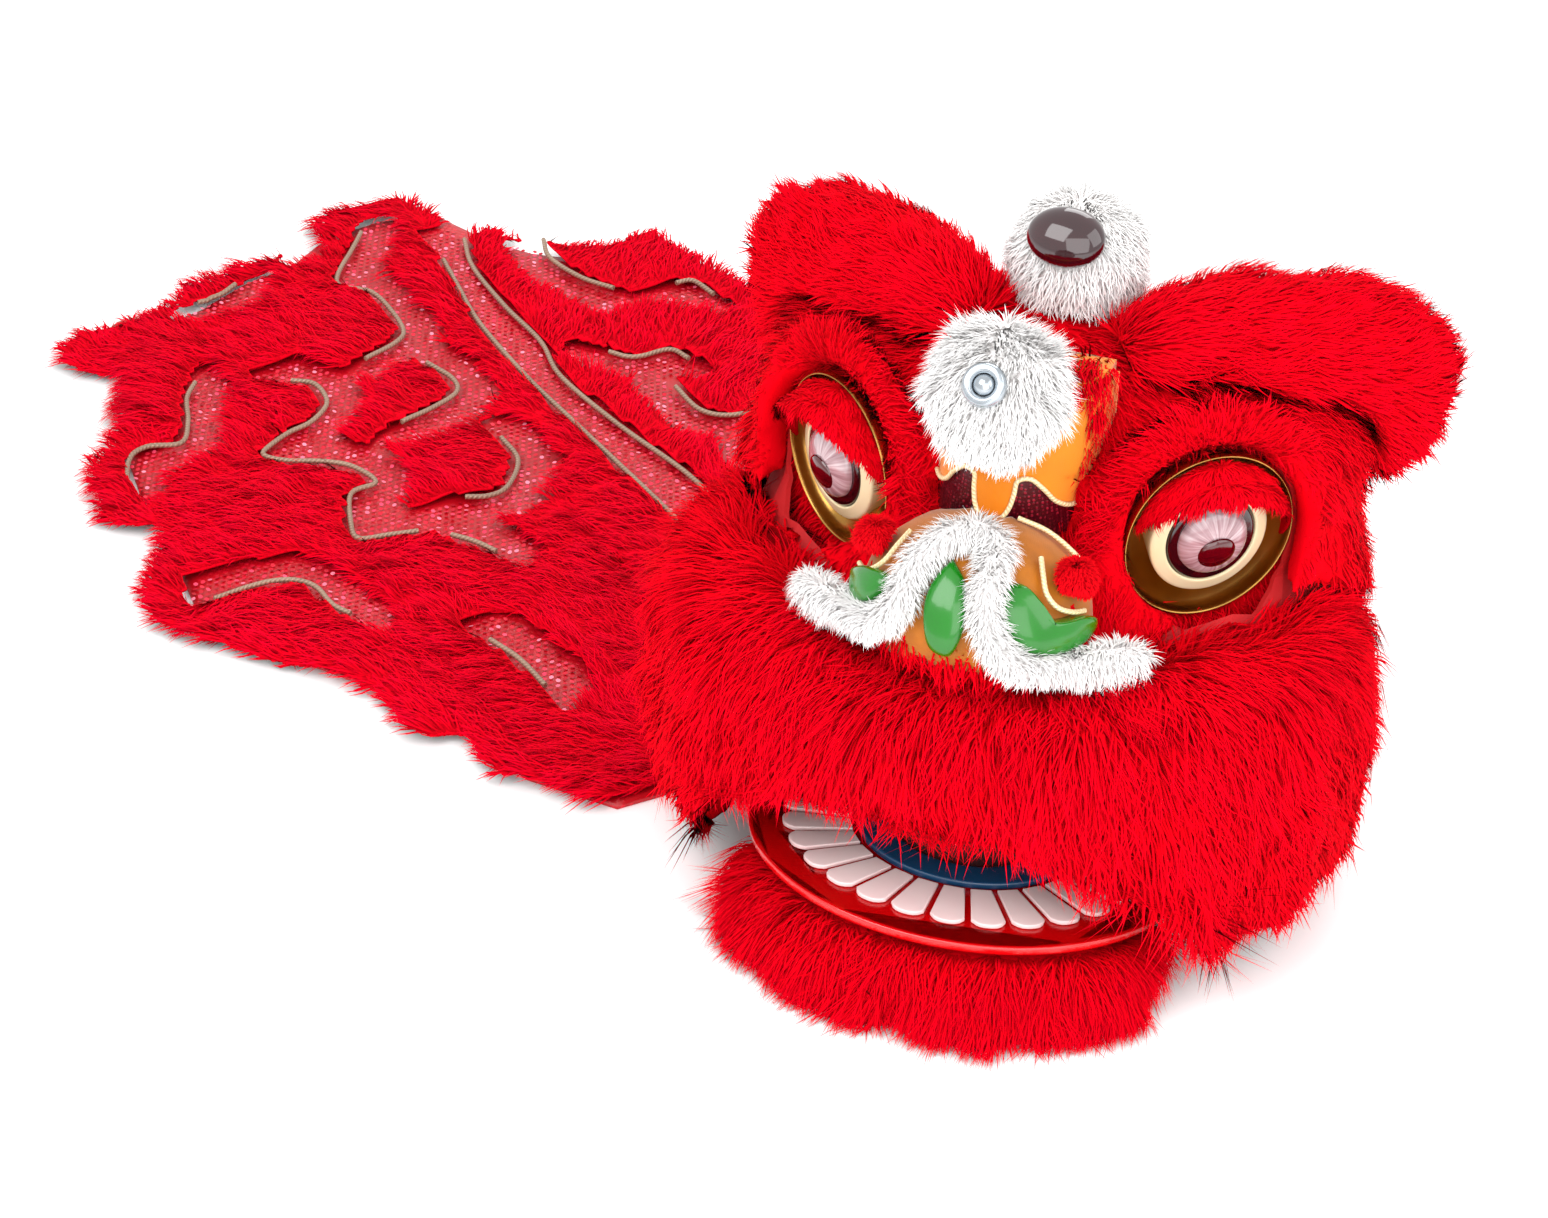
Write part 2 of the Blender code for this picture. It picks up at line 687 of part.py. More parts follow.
def jaw():
    """The jaw board on its hinge line, with teeth, gum, floor and beard; heights are from the line."""
    hinge = empty("jaw_hinge", Vector((0, HINGE_Y, JAW_HEIGHT)))
    half = JAW_THICKNESS / 2
    back = math.acos((JAW_CENTRE_Y - JAW_BACK_Y) / JAW_HALF_DEPTH)
    board = jaw_slab("jaw_board", arc(1, back, 24), -half, half, JAW_BOARD, hinge)
    round_edge = board.modifiers.new("round_edge", "BEVEL")
    round_edge.width = JAW_EDGE_ROUND
    round_edge.segments = 1
    arms = []
    arm_out = JAW_HALF_WIDTH - JAW_ARM_INSET / 2
    for side in (-1, 1):
        ends = sorted((side * arm_out, side * (arm_out - JAW_ARM_WIDTH)))
        low = (ends[0], JAW_BACK_Y - HINGE_Y - JAW_ARM_LAP, -half)
        high = (ends[1], JAW_ARM_PAST_PIN, half)
        arm = box_mesh("arm", low, high)
        arms.append(as_object(f"jaw_arm_{side}", arm, None, hinge, cutter=True))
        start = arm_out - JAW_ARM_WIDTH / 2
        pin = cylinder_mesh("pin", HINGE_PIN_RADIUS, start, arm_out + HINGE_PIN_REACH, 12)
        turn = Matrix.Rotation(side * math.pi / 2, 4, "Y")
        arms.append(as_object(f"jaw_pin_{side}", pin, None, hinge, turn, cutter=True))
    combine(board, arms, "UNION")
    jaw_fittings(hinge, half)
    hinge_bosses(arm_out)


def hinge_bosses(arm_out):
    """A tube on each side of the shell that the jaw's pin turns in."""
    start = arm_out + HINGE_BOSS_STAND
    corner = HINGE_BOSS_RADIUS * FACET_SHARE
    end = shell_inside(HINGE_Y - corner, JAW_HEIGHT - corner) - SEAT_GAP
    bore = HINGE_PIN_RADIUS + PIVOT_GAP
    for side, label in ((-1, "right"), (1, "left")):
        profile = [
            (bore, end),
            (HINGE_BOSS_RADIUS, end),
            (HINGE_BOSS_RADIUS, start),
            (bore, start),
        ]
        place = Matrix.Translation((0, HINGE_Y, JAW_HEIGHT)) @ Matrix.Rotation(side * math.pi / 2, 4, "Y")
        turned("hinge_boss_" + label, profile, SHELL_BOARD, None, 12, place)


def jaw_fittings(hinge, half):
    """Teeth, gum and mouth floor on the board, in arcs that share its centre."""
    top = half + SEAT_GAP
    spread = TOOTH_COUNT * TOOTH_PITCH / 2
    outline = []
    for i in range(TOOTH_COUNT):
        start = -spread + i * TOOTH_PITCH
        outline.append(jaw_point(start + TOOTH_SLIT / 2, 0.53, 0))
        outline.append(jaw_point(start + TOOTH_SLIT, 0.80, 0))
        outline.append(jaw_point(start + TOOTH_PITCH * 0.25, 0.84, 0))
        outline.append(jaw_point(start + TOOTH_PITCH * 0.75, 0.84, 0))
        outline.append(jaw_point(start + TOOTH_PITCH - TOOTH_SLIT, 0.80, 0))
        outline.append(jaw_point(start + TOOTH_PITCH - TOOTH_SLIT / 2, 0.53, 0))
    inner = list(reversed(arc(0.48, spread, 20)))
    jaw_slab("teeth", outline + inner, top, top + TOOTH_HEIGHT, TOOTH_WHITE, hinge)
    gum = arc(0.47, spread, 20) + list(reversed(arc(0.34, spread, 16)))
    jaw_slab("gum_bowl", gum, top, top + GUM_HEIGHT, GUM_BLUE, hinge)
    floor = arc(0.33, spread, 16)
    jaw_slab("mouth_floor", floor, top, top + MOUTH_FLOOR_HEIGHT, MOUTH_RED, hinge)
    beard(hinge, -half - SEAT_GAP)


def beard(hinge, top):
    """Fur under the jaw board, spreading to the floor in locks."""
    levels = ((top, 0.0), (top - 0.012, 0.55), (top - 0.028, 0.95), (0.002 - JAW_HEIGHT, 1.0))
    rings = []
    for height, spread in levels:
        ring = []
        for i, point in enumerate(arc(0.93, math.radians(84), 24)):
            lock = 1 + (0.35 if i % 2 else 0)
            away = Vector((point.x * 0.25, point.y - JAW_CENTRE_Y + HINGE_Y, 0))
            push = away.normalized() * BEARD_REACH * spread * lock
            narrow = (JAW_HALF_WIDTH - 0.004) / JAW_HALF_WIDTH
            x = max(-narrow * JAW_HALF_WIDTH, min(narrow * JAW_HALF_WIDTH, point.x + push.x))
            ring.append(Vector((x, point.y + push.y, height)))
        rings.append(ring)
    return as_object("beard_fur", loft("beard_fur", rings), RED_FUR, hinge)


def nose_place(share):
    half = Vector((NOSE_WIDTH / 2, NOSE_DEPTH / 2, NOSE_HEIGHT / 2))
    return NOSE_CENTRE + Vector(s * h for s, h in zip(share, half))


def nose_base():
    radii = (NOSE_WIDTH / 2, NOSE_DEPTH / 2, NOSE_HEIGHT / 2)
    mesh = ball_mesh("nose_base", radii, 14, 8)
    return as_object("nose_base", mesh, RED_FUR, matrix=Matrix.Translation(NOSE_CENTRE))


def tube_rings(path, radius_at, sides, seen_from):
    """Rings of points round a path, each square to it; the path never runs along seen_from."""
    rings = []
    for i, point in enumerate(path):
        ahead = path[min(i + 1, len(path) - 1)] - path[max(i - 1, 0)]
        ahead.normalize()
        across = ahead.cross(seen_from).normalized()
        over = across.cross(ahead)
        radius = radius_at(i)
        rings.append([
            point + (across * math.cos(a) + over * math.sin(a)) * radius
            for a in around(sides)
        ])
    return rings


def nose_trim():
    right = [nose_place(share) for share in NOSE_TRIM_PATH]
    left = [Vector((-p.x, p.y, p.z)) for p in right[:-1]]
    coarse = left + list(reversed(right))
    path = []
    for a, b in zip(coarse, coarse[1:]):
        path += [a, (a + b) / 2]
    path.append(coarse[-1])
    last = len(path) - 1

    def radius_at(i):
        end = min(i, last - i)
        swell = 1.0 if end else 0.65
        return NOSE_TRIM_RADIUS * swell * (1.1 if i % 2 else 0.95)

    mesh = loft("nose_trim", tube_rings(path, radius_at, 6, Vector((0, -0.6, 0.8))))
    return as_object("nose_trim", mesh, WHITE_FUR)


def nose_pad(name, share, sizes, turn):
    radii = Vector((NOSE_WIDTH / 2 * sizes[0], NOSE_DEPTH / 2 * sizes[1], NOSE_HEIGHT / 2 * sizes[2]))
    place = Matrix.Translation(nose_place(share)) @ Matrix.Rotation(math.radians(turn), 4, "Z")
    return as_object(name, ball_mesh(name, radii, 12, 6), PATENT_GREEN, matrix=place)


def nose_pompom(side, label):
    name = "nose_pompom_" + label
    radii = (NOSE_POMPOM_RADIUS,) * 3
    place = nose_place((side * 0.84, -0.16, 0.66))
    mesh = ball_mesh(name, radii, 10, 6, 0.05)
    return as_object(name, mesh, RED_FUR, matrix=Matrix.Translation(place))


def bridge_front(x, z, out=0.0):
    """The y of the bridge's rounded front at a place on it, moved forwards by out."""
    share = (z - BRIDGE_BOTTOM) / (BRIDGE_TOP - BRIDGE_BOTTOM)
    front = BRIDGE_FRONT_LOW_Y + (BRIDGE_FRONT_HIGH_Y - BRIDGE_FRONT_LOW_Y) * share - out
    half = BRIDGE_WIDTH / 2 + out
    return BRIDGE_CENTRE_Y - (BRIDGE_CENTRE_Y - front) * math.sqrt(max(0, 1 - (x / half) ** 2))


def bridge_saddle():
    """The padded bridge between nose and forehead: an upright half round, its back inside the head."""
    rings = []
    for z in (BRIDGE_BOTTOM, (BRIDGE_BOTTOM + BRIDGE_TOP) / 2, BRIDGE_TOP):
        ring = []
        for i in range(17):
            angle = math.pi * (i / 16 - 0.5)
            x = BRIDGE_WIDTH / 2 * math.sin(angle)
            ring.append(Vector((x, bridge_front(x, z), z)))
        rings.append(ring)
    return as_object("bridge_saddle", loft("bridge_saddle", rings), SEQUIN_MAROON)


def bridge_applique():
    """The orange piece on the bridge: three lobes hang from its band, the middle one the longest."""
    rings = []
    half = BRIDGE_WIDTH * 0.46
    for i in range(17):
        x = half * (i / 8 - 1)
        lobe = math.cos(abs(x) / half * 3 * math.pi)
        drop = 0.24 - 0.10 * lobe if abs(x) < half / 6 * 5 else 0.33
        low = BRIDGE_BOTTOM + (BRIDGE_TOP - BRIDGE_BOTTOM) * drop + 0.004
        ring = []
        for z, out in ((low, 0), (low, 1), (APPLIQUE_TOP, 1), (APPLIQUE_TOP, 0)):
            away = SEAT_GAP + 0.0003 + out * APPLIQUE_THICKNESS
            ring.append(Vector((x, bridge_front(x, z, away), z)))
        rings.append(ring)
    return as_object("bridge_applique", loft("bridge_applique", rings), APPLIQUE_ORANGE)


def pitched(place, pitch):
    """Z leans forward (-Y) from straight up."""
    return Matrix.Translation(place) @ Matrix.Rotation(math.pi / 2 - pitch, 4, "X")


def forehead_mirror():
    frame = pitched(MIRROR_CENTRE, MIRROR_PITCH)
    radii = (MIRROR_POMPOM_RADIUS, MIRROR_POMPOM_RADIUS, MIRROR_POMPOM_DEPTH)
    pompom = as_object("mirror_pompom", ball_mesh("mirror_pompom", radii, 14, 7, 0.05), WHITE_FUR, matrix=frame)
    radius = MIRROR_BUTTON_RADIUS
    top = MIRROR_POMPOM_DEPTH
    profile = [(0, top + 0.006), (radius * 0.5, top + 0.005), (radius, top + 0.002), (radius, 0), (0, 0)]
    button = turned("mirror_button", profile, CLEAR_SILVER, None, 16, frame)
    combine(button, [grown(pompom)])
    return pompom


def horn():
    frame = pitched(HORN_CENTRE, HORN_PITCH)
    fur = as_object("horn_fur", ball_mesh("horn_fur", (HORN_RADIUS,) * 3, 14, 8, 0.04), WHITE_FUR, matrix=frame)
    radii = (HORN_BUTTON_HALF_WIDTH, HORN_BUTTON_HALF_HEIGHT, 0.012)
    lift = Matrix.Translation((0, 0, HORN_RADIUS))
    button = as_object("horn_button", ball_mesh("horn_button", radii, 12, 6), HORN_GLOSS, matrix=frame @ lift)
    combine(button, [grown(fur)])
    return fur


def crest_fur():
    """A ridge of white fur from behind the horn down the back of the head."""
    path = []
    for share in (0.975, 0.93, 0.87, 0.79, 0.70, 0.62):
        point = shell_point(math.pi, share, HEAD_FUR_PILE * 0.8)
        path.append(point + Vector((0, 0, HEAD_FUR_PILE * 0.8)))
    last = len(path) - 1

    def radius_at(i):
        return CREST_RADIUS * (0.6 if i == last else 1)

    mesh = loft("crest_fur", tube_rings(path, radius_at, 10, Vector((0, 0.7, 0.7))))
    return as_object("crest_fur", mesh, WHITE_FUR)


def ear(side, label):
    """A deep paddle of fur that sweeps out, back and down from beside the forehead."""
    along = Vector((
        side * math.cos(EAR_SWEEP) * math.cos(EAR_DROOP),
        math.sin(EAR_SWEEP) * math.cos(EAR_DROOP),
        -math.sin(EAR_DROOP),
    ))
    ahead = Vector((0, 0, 1)).cross(along).normalized() * -side
    over = along.cross(ahead).normalized()
    if over.z < 0:
        over.negate()
    root = Vector((side * EAR_ROOT.x, EAR_ROOT.y, EAR_ROOT.z))
    rings = []
    for i, (run, high, thick, shift) in enumerate(EAR_SECTIONS):
        ring = []
        for k, angle in enumerate(around(10)):
            lock = 1 + 0.03 * (1 if (i + k) % 2 else -1)
            height = EAR_HEIGHT / 2 * high * signed_power(math.sin(angle), 0.85) * lock
            depth = EAR_THICKNESS / 2 * (thick * signed_power(math.cos(angle), 0.85) * lock + shift)
            ring.append(root + along * EAR_LENGTH * run + over * height + ahead * depth)
        rings.append(ring)
    name = "ear_" + label
    return as_object(name, loft(name, rings), RED_FUR)


def cloth_place(along, across, height=0.0):
    """A point in the head's frame from a place along and across the cloth."""
    back = Vector((-math.sin(CLOTH_SWEEP), math.cos(CLOTH_SWEEP), 0))
    right = Vector((math.cos(CLOTH_SWEEP), math.sin(CLOTH_SWEEP), 0))
    return CLOTH_ORIGIN + back * along + right * across + Vector((0, 0, height))


def cloth_reach(along, side):
    column, reach = (1, CLOTH_LEFT) if side < 0 else (2, CLOTH_RIGHT)
    return table_value(CLOTH_SIDES, along / CLOTH_LENGTH, column) * reach


def cloth_tail(across_share):
    return table_value(CLOTH_TAIL, across_share, 1) * CLOTH_LENGTH


def cloth_height(along, across):
    """How high the cloth's underside stands: zero between the folds and beside the head."""
    rise = 0.0
    for place, share, half in CLOTH_FOLDS:
        away = abs(across - place * CLOTH_LEFT) / half
        if away < 1:
            rise = max(rise, share * (0.5 + 0.5 * math.cos(math.pi * away)))
    fade = min(1, max(0, (along - head_edge(across)) / CLOTH_FOLD_FADE))
    return CLOTH_FOLD_HEIGHT * rise * fade


def cloth_node(row, column):
    """Place along, place across and height of a corner of the cloth's mesh."""
    share = 2 * column / CLOTH_COLUMNS - 1
    along = CLOTH_START + (cloth_tail(share) - CLOTH_START) * row / CLOTH_ROWS
    across = share * cloth_reach(along, share)
    return along, across, cloth_height(along, across)


def cloth_top(along, across):
    """The height of the cloth's upper face between the corners of its mesh."""
    share = max(-1, min(1, across / cloth_reach(along, across)))
    column = (share + 1) / 2 * CLOTH_COLUMNS
    row = (along - CLOTH_START) / (cloth_tail(share) - CLOTH_START) * CLOTH_ROWS
    row = max(0, min(CLOTH_ROWS, row))
    left = min(int(column), CLOTH_COLUMNS - 1)
    near = min(int(row), CLOTH_ROWS - 1)
    corners = [cloth_node(near + j, left + i)[2] for j in (0, 1) for i in (0, 1)]
    low = corners[0] + (corners[1] - corners[0]) * (column - left)
    high = corners[2] + (corners[3] - corners[2]) * (column - left)
    return low + (high - low) * (row - near) + CLOTH_WALL


def head_edge(across):
    """Where along the cloth the fur of the head ends."""
    middle = Vector((0, SHELL_DEPTH * 0.235, 0)) - CLOTH_ORIGIN
    back = Vector((-math.sin(CLOTH_SWEEP), math.cos(CLOTH_SWEEP), 0))
    right = Vector((math.cos(CLOTH_SWEEP), math.sin(CLOTH_SWEEP), 0))
    beside = across - middle.dot(right)
    if abs(beside) >= HEAD_KEEP_OUT:
        return middle.dot(back)
    return middle.dot(back) + math.sqrt(HEAD_KEEP_OUT ** 2 - beside ** 2)


def body_cloth():
    shape = bmesh.new()
    grid = []
    for row in range(CLOTH_ROWS + 1):
        grid.append([
            shape.verts.new(cloth_place(*cloth_node(row, column)))
            for column in range(CLOTH_COLUMNS + 1)
        ])
    for low, high in zip(grid, grid[1:]):
        for i in range(CLOTH_COLUMNS):
            shape.faces.new((low[i], low[i + 1], high[i + 1], high[i]))
    mesh = mesh_of("body_cloth", shape)
    if mesh.polygons[0].normal.z < 0:
        mesh.flip_normals()
    made = as_object("body_cloth", mesh, CLOTH_CRIMSON)
    wall = made.modifiers.new("wall", "SOLIDIFY")
    wall.thickness = CLOTH_WALL
    wall.offset = 1
    return made


def scallop(along):
    """One at the hook of each scallop, falling to zero over its first third."""
    phase = ((along - SCALLOP_START) / SCALLOP_PITCH) % 1
    return max(0, 1 - phase / 0.35)


def far_edge(outer, along):
    """A band's outer edge; one that is past the cloth's own edge follows it at that distance."""
    if outer < -1:
        return -cloth_reach(along, -1) / CLOTH_LEFT + outer + 1
    return outer


def fur_band(name, inner, outer, hook):
    """A band of fur along the cloth, its edge towards the spine hooked at each scallop."""
    side = 1 if outer > inner else -1
    middle = (inner + outer) / 2 * CLOTH_LEFT
    start = max(head_edge(middle), CLOTH_START) + BAND_START_GAP
    share = middle / (CLOTH_LEFT if middle < 0 else CLOTH_RIGHT)
    end = cloth_tail(share) + BAND_OVERHANG
    if outer < -1:
        start = max(start, OUTER_BAND_START)
    count = round((end - start) / BAND_STEP)
    rings = []
    for i in range(count + 1):
        along = start + (end - start) * i / count
        near = inner + side * hook * scallop(along)
        far = far_edge(outer, along)
        low_across, high_across = near * CLOTH_LEFT, far * CLOTH_LEFT
        full = BODY_PILE * (0.45 if i in (0, count) else (1.0 if i % 2 else 0.86))
        ring = []
        for share_across, rise in ((0, 0), (0.33, 0), (0.67, 0), (1, 0), (0.92, 0.9), (0.5, 1), (0.08, 0.9)):
            across = low_across + (high_across - low_across) * share_across
            base = cloth_top(along, across) + BAND_LIFT
            ring.append(cloth_place(along, across, base + rise * full))
        rings.append(ring)
    return as_object(name, loft(name, rings), RED_FUR)


def build():
    shell_space = shell_room()
    mouth_space = mouth_room()
    eye_spaces = eye_rooms(-1, "right") + eye_rooms(1, "left")

    shell = head_shell()
    combine(shell, [mouth_space] + eye_spaces)
    muzzle = muzzle_fur()
    muzzle_space = grown(muzzle)
    combine(muzzle, [shell_space, mouth_space] + eye_spaces)

    bridge = bridge_saddle()
    bridge_space = grown(bridge, 2 * SEAT_GAP)
    combine(bridge, [shell_space])
    applique = bridge_applique()
    applique_space = grown(applique, 2.5 * SEAT_GAP)

    nose = nose_base()
    nose_space = grown(nose)
    combine(nose, [shell_space, muzzle_space, bridge_space, applique_space])
    trim = nose_trim()
    trim_space = grown(trim)
    combine(trim, [nose_space, muzzle_space, shell_space, bridge_space, applique_space])

    fur = head_fur()
    fur_space = grown(fur)
    seats = [shell_space, muzzle_space, bridge_space, applique_space, nose_space, trim_space]
    combine(fur, eye_spaces + seats, solver="MANIFOLD")

    pad_spaces = []
    for name, share, sizes, turn in NOSE_PADS:
        pad = nose_pad(name, share, sizes, turn)
        pad_spaces.append(grown(pad))
        combine(pad, [nose_space, trim_space, muzzle_space])
    for side, label in ((-1, "right"), (1, "left")):
        pompom = nose_pompom(side, label)
        combine(pompom, [nose_space, trim_space, bridge_space, muzzle_space, fur_space] + pad_spaces)

    mirror = forehead_mirror()
    mirror_space = grown(mirror)
    combine(mirror, [bridge_space, applique_space, fur_space, shell_space])
    horn_ball = horn()
    horn_space = grown(horn_ball)
    combine(horn_ball, [fur_space, shell_space])
    crest = crest_fur()
    combine(crest, [fur_space, shell_space, horn_space])
    crest_space = grown(crest)
    for side, label in ((-1, "right"), (1, "left")):
        paddle = ear(side, label)
        combine(paddle, [fur_space, shell_space, bridge_space, applique_space, mirror_space, horn_space, crest_space])
        eye_parts(side, label)

    jaw()
    cloth = body_cloth()
    combine(cloth, [shell_space])
    for name, inner, outer, hook in FUR_BANDS:
        fur_band(name, inner, outer, hook)


def stand_on_centre():
    """Moves the frame so that the middle of the whole object's box, at its bottom, is the origin."""
    bpy.context.view_layer.update()
    graph = bpy.context.evaluated_depsgraph_get()
    corners = []
    for part in PARTS.objects:
        if part.type == "MESH":
            held = part.evaluated_get(graph)
            corners += [held.matrix_world @ vert.co for vert in held.data.vertices]
    low = [min(corner[k] for corner in corners) for k in range(3)]
    high = [max(corner[k] for corner in corners) for k in range(3)]
    WORLD.location = (-(low[0] + high[0]) / 2, -(low[1] + high[1]) / 2, -low[2])


build()
stand_on_centre()
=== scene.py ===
"""Looks of a child's lion dance head and its sewn-on body cloth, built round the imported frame.

The fur is made by Geometry Nodes from the CAD's own fur forms: bent, tapered blades that are combed,
pulled together into locks and kept above the floor. Sequins are set in rows by Geometry Nodes as well.
Places are written in millimetres in the head's own frame, which at() moves to the row frame.
"""

import math
from functools import partial
from typing import NamedTuple

import bmesh
import bpy
import numpy as np
from mathutils import Matrix, Vector, noise
from mathutils.bvhtree import BVHTree


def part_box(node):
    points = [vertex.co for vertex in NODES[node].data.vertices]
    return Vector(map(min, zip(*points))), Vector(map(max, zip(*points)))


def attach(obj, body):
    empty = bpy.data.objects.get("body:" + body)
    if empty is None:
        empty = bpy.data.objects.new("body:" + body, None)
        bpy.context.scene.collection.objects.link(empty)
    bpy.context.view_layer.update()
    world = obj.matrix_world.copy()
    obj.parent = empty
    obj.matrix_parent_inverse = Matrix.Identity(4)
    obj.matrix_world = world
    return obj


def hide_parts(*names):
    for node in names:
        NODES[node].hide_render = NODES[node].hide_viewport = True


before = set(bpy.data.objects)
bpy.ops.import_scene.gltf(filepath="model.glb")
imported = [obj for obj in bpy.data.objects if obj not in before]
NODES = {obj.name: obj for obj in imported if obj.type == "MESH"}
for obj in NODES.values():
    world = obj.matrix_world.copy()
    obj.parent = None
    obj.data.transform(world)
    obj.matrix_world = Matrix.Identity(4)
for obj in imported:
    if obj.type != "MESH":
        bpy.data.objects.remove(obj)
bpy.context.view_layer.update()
MM = 0.001
SIDES = ((-1, "right"), (1, "left"))

# Kinds of node that the trees use often
MATH = "ShaderNodeMath"
VECTOR = "ShaderNodeVectorMath"
NAMED = "GeometryNodeInputNamedAttribute"
STORE = "GeometryNodeStoreNamedAttribute"
RANDOM = "FunctionNodeRandomValue"

# The head's frame: the middle of the shell, and its back as the CAD has it
SHELL_LOW, SHELL_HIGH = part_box("head_shell")
SHELL_BACK_Y = 229.95
HEAD = Vector(((SHELL_LOW.x + SHELL_HIGH.x) / 2, SHELL_HIGH.y - SHELL_BACK_Y * MM, 0))

# Camera: where it stands about the point that the photograph's pixel (1000, 600) shows
PHOTO_WIDTH = 1548
PHOTO_HEIGHT = 1218
VIEW_AZIMUTH = math.radians(18.3)
VIEW_ELEVATION = math.radians(34)
VIEW_ROLL = math.radians(1.7)
VIEW_WIDTH_ANGLE = math.radians(22)
VIEW_TARGET_PIXEL = (1000, 600)
VIEW_TARGET = (0, 0, 200)
PIXEL_SIZE = 0.6 * MM

# Body cloth
CLOTH_SWEEP = math.radians(47)
CLOTH_ORIGIN = (-162, 195)
CLOTH_WALL = 2.5


def at(x, y, z):
    """A place in the head's frame, in millimetres, as a point of the row frame."""
    return HEAD + Vector((x, y, z)) * MM


def on_cloth(along, across, height=0.0):
    """A place along and across the body cloth, in millimetres, as a point of the row frame."""
    back = Vector((-math.sin(CLOTH_SWEEP), math.cos(CLOTH_SWEEP)))
    right = Vector((math.cos(CLOTH_SWEEP), math.sin(CLOTH_SWEEP)))
    place = Vector(CLOTH_ORIGIN) + back * along + right * across
    return at(place.x, place.y, height)


def to_cloth(point):
    """Where along and across the cloth a point of the row frame lies, in millimetres."""
    local = (point - HEAD) / MM
    x, y = local.x - CLOTH_ORIGIN[0], local.y - CLOTH_ORIGIN[1]
    along = -x * math.sin(CLOTH_SWEEP) + y * math.cos(CLOTH_SWEEP)
    across = x * math.cos(CLOTH_SWEEP) + y * math.sin(CLOTH_SWEEP)
    return along, across


def colour(code):
    """An sRGB hex code as linear RGBA."""
    channels = [int(code[i:i + 2], 16) / 255 for i in (1, 3, 5)]
    return [c / 12.92 if c <= 0.04045 else ((c + 0.055) / 1.055) ** 2.4 for c in channels] + [1.0]


def add(tree, kind, inputs=(), **settings):
    """Adds a node with its settings; inputs are values or sockets, in order or by their names."""
    made = tree.nodes.new(kind)
    for name, value in settings.items():
        setattr(made, name, value)
    for key, value in inputs.items() if isinstance(inputs, dict) else enumerate(inputs):
        if isinstance(value, bpy.types.NodeSocket):
            tree.links.new(value, made.inputs[key])
        else:
            made.inputs[key].default_value = value
    return made


def put(tree, kind, inputs=(), **settings):
    """Adds a node in the same way and returns its first output."""
    return add(tree, kind, inputs, **settings).outputs[0]


def new_material(name, roughness=0.5, metallic=0.0, **sockets):
    """A material, its tree and its Principled shader; sockets are named with _ for a space."""
    made = bpy.data.materials.new(name)
    made.use_nodes = True
    shader = made.node_tree.nodes["Principled BSDF"]
    shader.inputs["Roughness"].default_value = roughness
    shader.inputs["Metallic"].default_value = metallic
    for key, value in sockets.items():
        shader.inputs[key.replace("_", " ")].default_value = value
    return made, made.node_tree, shader


def mixed(tree, factor, first, second):
    """The colour between two colours or sockets by a factor socket."""
    made = add(tree, "ShaderNodeMix", {0: factor, 6: first, 7: second}, data_type="RGBA")
    return made.outputs[2]


def ramp(tree, factor, stops):
    made = add(tree, "ShaderNodeValToRGB", {0: factor})
    elements = made.color_ramp.elements
    while len(elements) < len(stops):
        elements.new(0.5)
    for element, (place, code) in zip(elements, stops):
        element.position = place
        element.color = colour(code)
    return made.outputs[0]


def cell_noise(tree, millimetres, detail=2.0):
    """Noise on Object coordinates whose blobs are about this many millimetres across."""
    place = add(tree, "ShaderNodeTexCoord").outputs["Object"]
    values = {"Vector": place, "Scale": 1 / (millimetres * MM), "Detail": detail}
    return add(tree, "ShaderNodeTexNoise", values).outputs["Fac"]


def paint(tree, shader, socket):
    tree.links.new(socket, shader.inputs["Base Color"])


def dye(tree, shader, millimetres, code, other):
    """Paints the shader with two near colours, in blots of about this many millimetres."""
    paint(tree, shader, mixed(tree, cell_noise(tree, millimetres), colour(code), colour(other)))


def bump(tree, shader, height, millimetres, strength=1.0):
    values = {"Height": height, "Distance": millimetres * MM, "Strength": strength}
    tree.links.new(put(tree, "ShaderNodeBump", values), shader.inputs["Normal"])


def fur_material(name, root, tip, other_tip, pile_shade):
    """Knitted-back acrylic fur: dull fibres, painted darker towards their roots as painted shade low in
    the pile, with locks of slightly different dye and a soft sheen where they turn away. Shading follows
    the pelt's form as much as each fibre's, which gives the eye a thick pile and not a bundle of wires."""
    made, tree, shader = new_material(name, roughness=0.85, Sheen_Weight=0.04, Sheen_Roughness=0.5)
    shader.inputs["Specular IOR Level"].default_value = 0.03
    shader.inputs["Sheen Tint"].default_value = colour(tip)
    along = add(tree, "ShaderNodeAttribute", attribute_name="along").outputs["Fac"]
    tint = add(tree, "ShaderNodeAttribute", attribute_name="tint").outputs["Fac"]
    # Painted shade: the colour darkens from each fibre's tip down to its root, for the shade low in the pile
    shade = ramp(tree, along, ((0.0, pile_shade), (0.35, root), (0.85, tip)))
    other = ramp(tree, along, ((0.0, pile_shade), (0.35, root), (0.85, other_tip)))
    blend = mixed(tree, tint, shade, other)
    tree.links.new(blend, shader.inputs["Base Color"])
    smooth = add(tree, "ShaderNodeAttribute", attribute_name="pelt_normal").outputs["Vector"]
    world = add(
        tree, "ShaderNodeVectorTransform", {0: smooth},
        vector_type="NORMAL", convert_from="OBJECT", convert_to="WORLD",
    )
    own = add(tree, "ShaderNodeNewGeometry").outputs["Normal"]
    share = add(tree, "ShaderNodeMix", {0: 0.9, 4: own, 5: world.outputs[0]}, data_type="VECTOR")
    unit = add(tree, "ShaderNodeVectorMath", {0: share.outputs[1]}, operation="NORMALIZE")
    tree.links.new(unit.outputs[0], shader.inputs["Normal"])
    return made
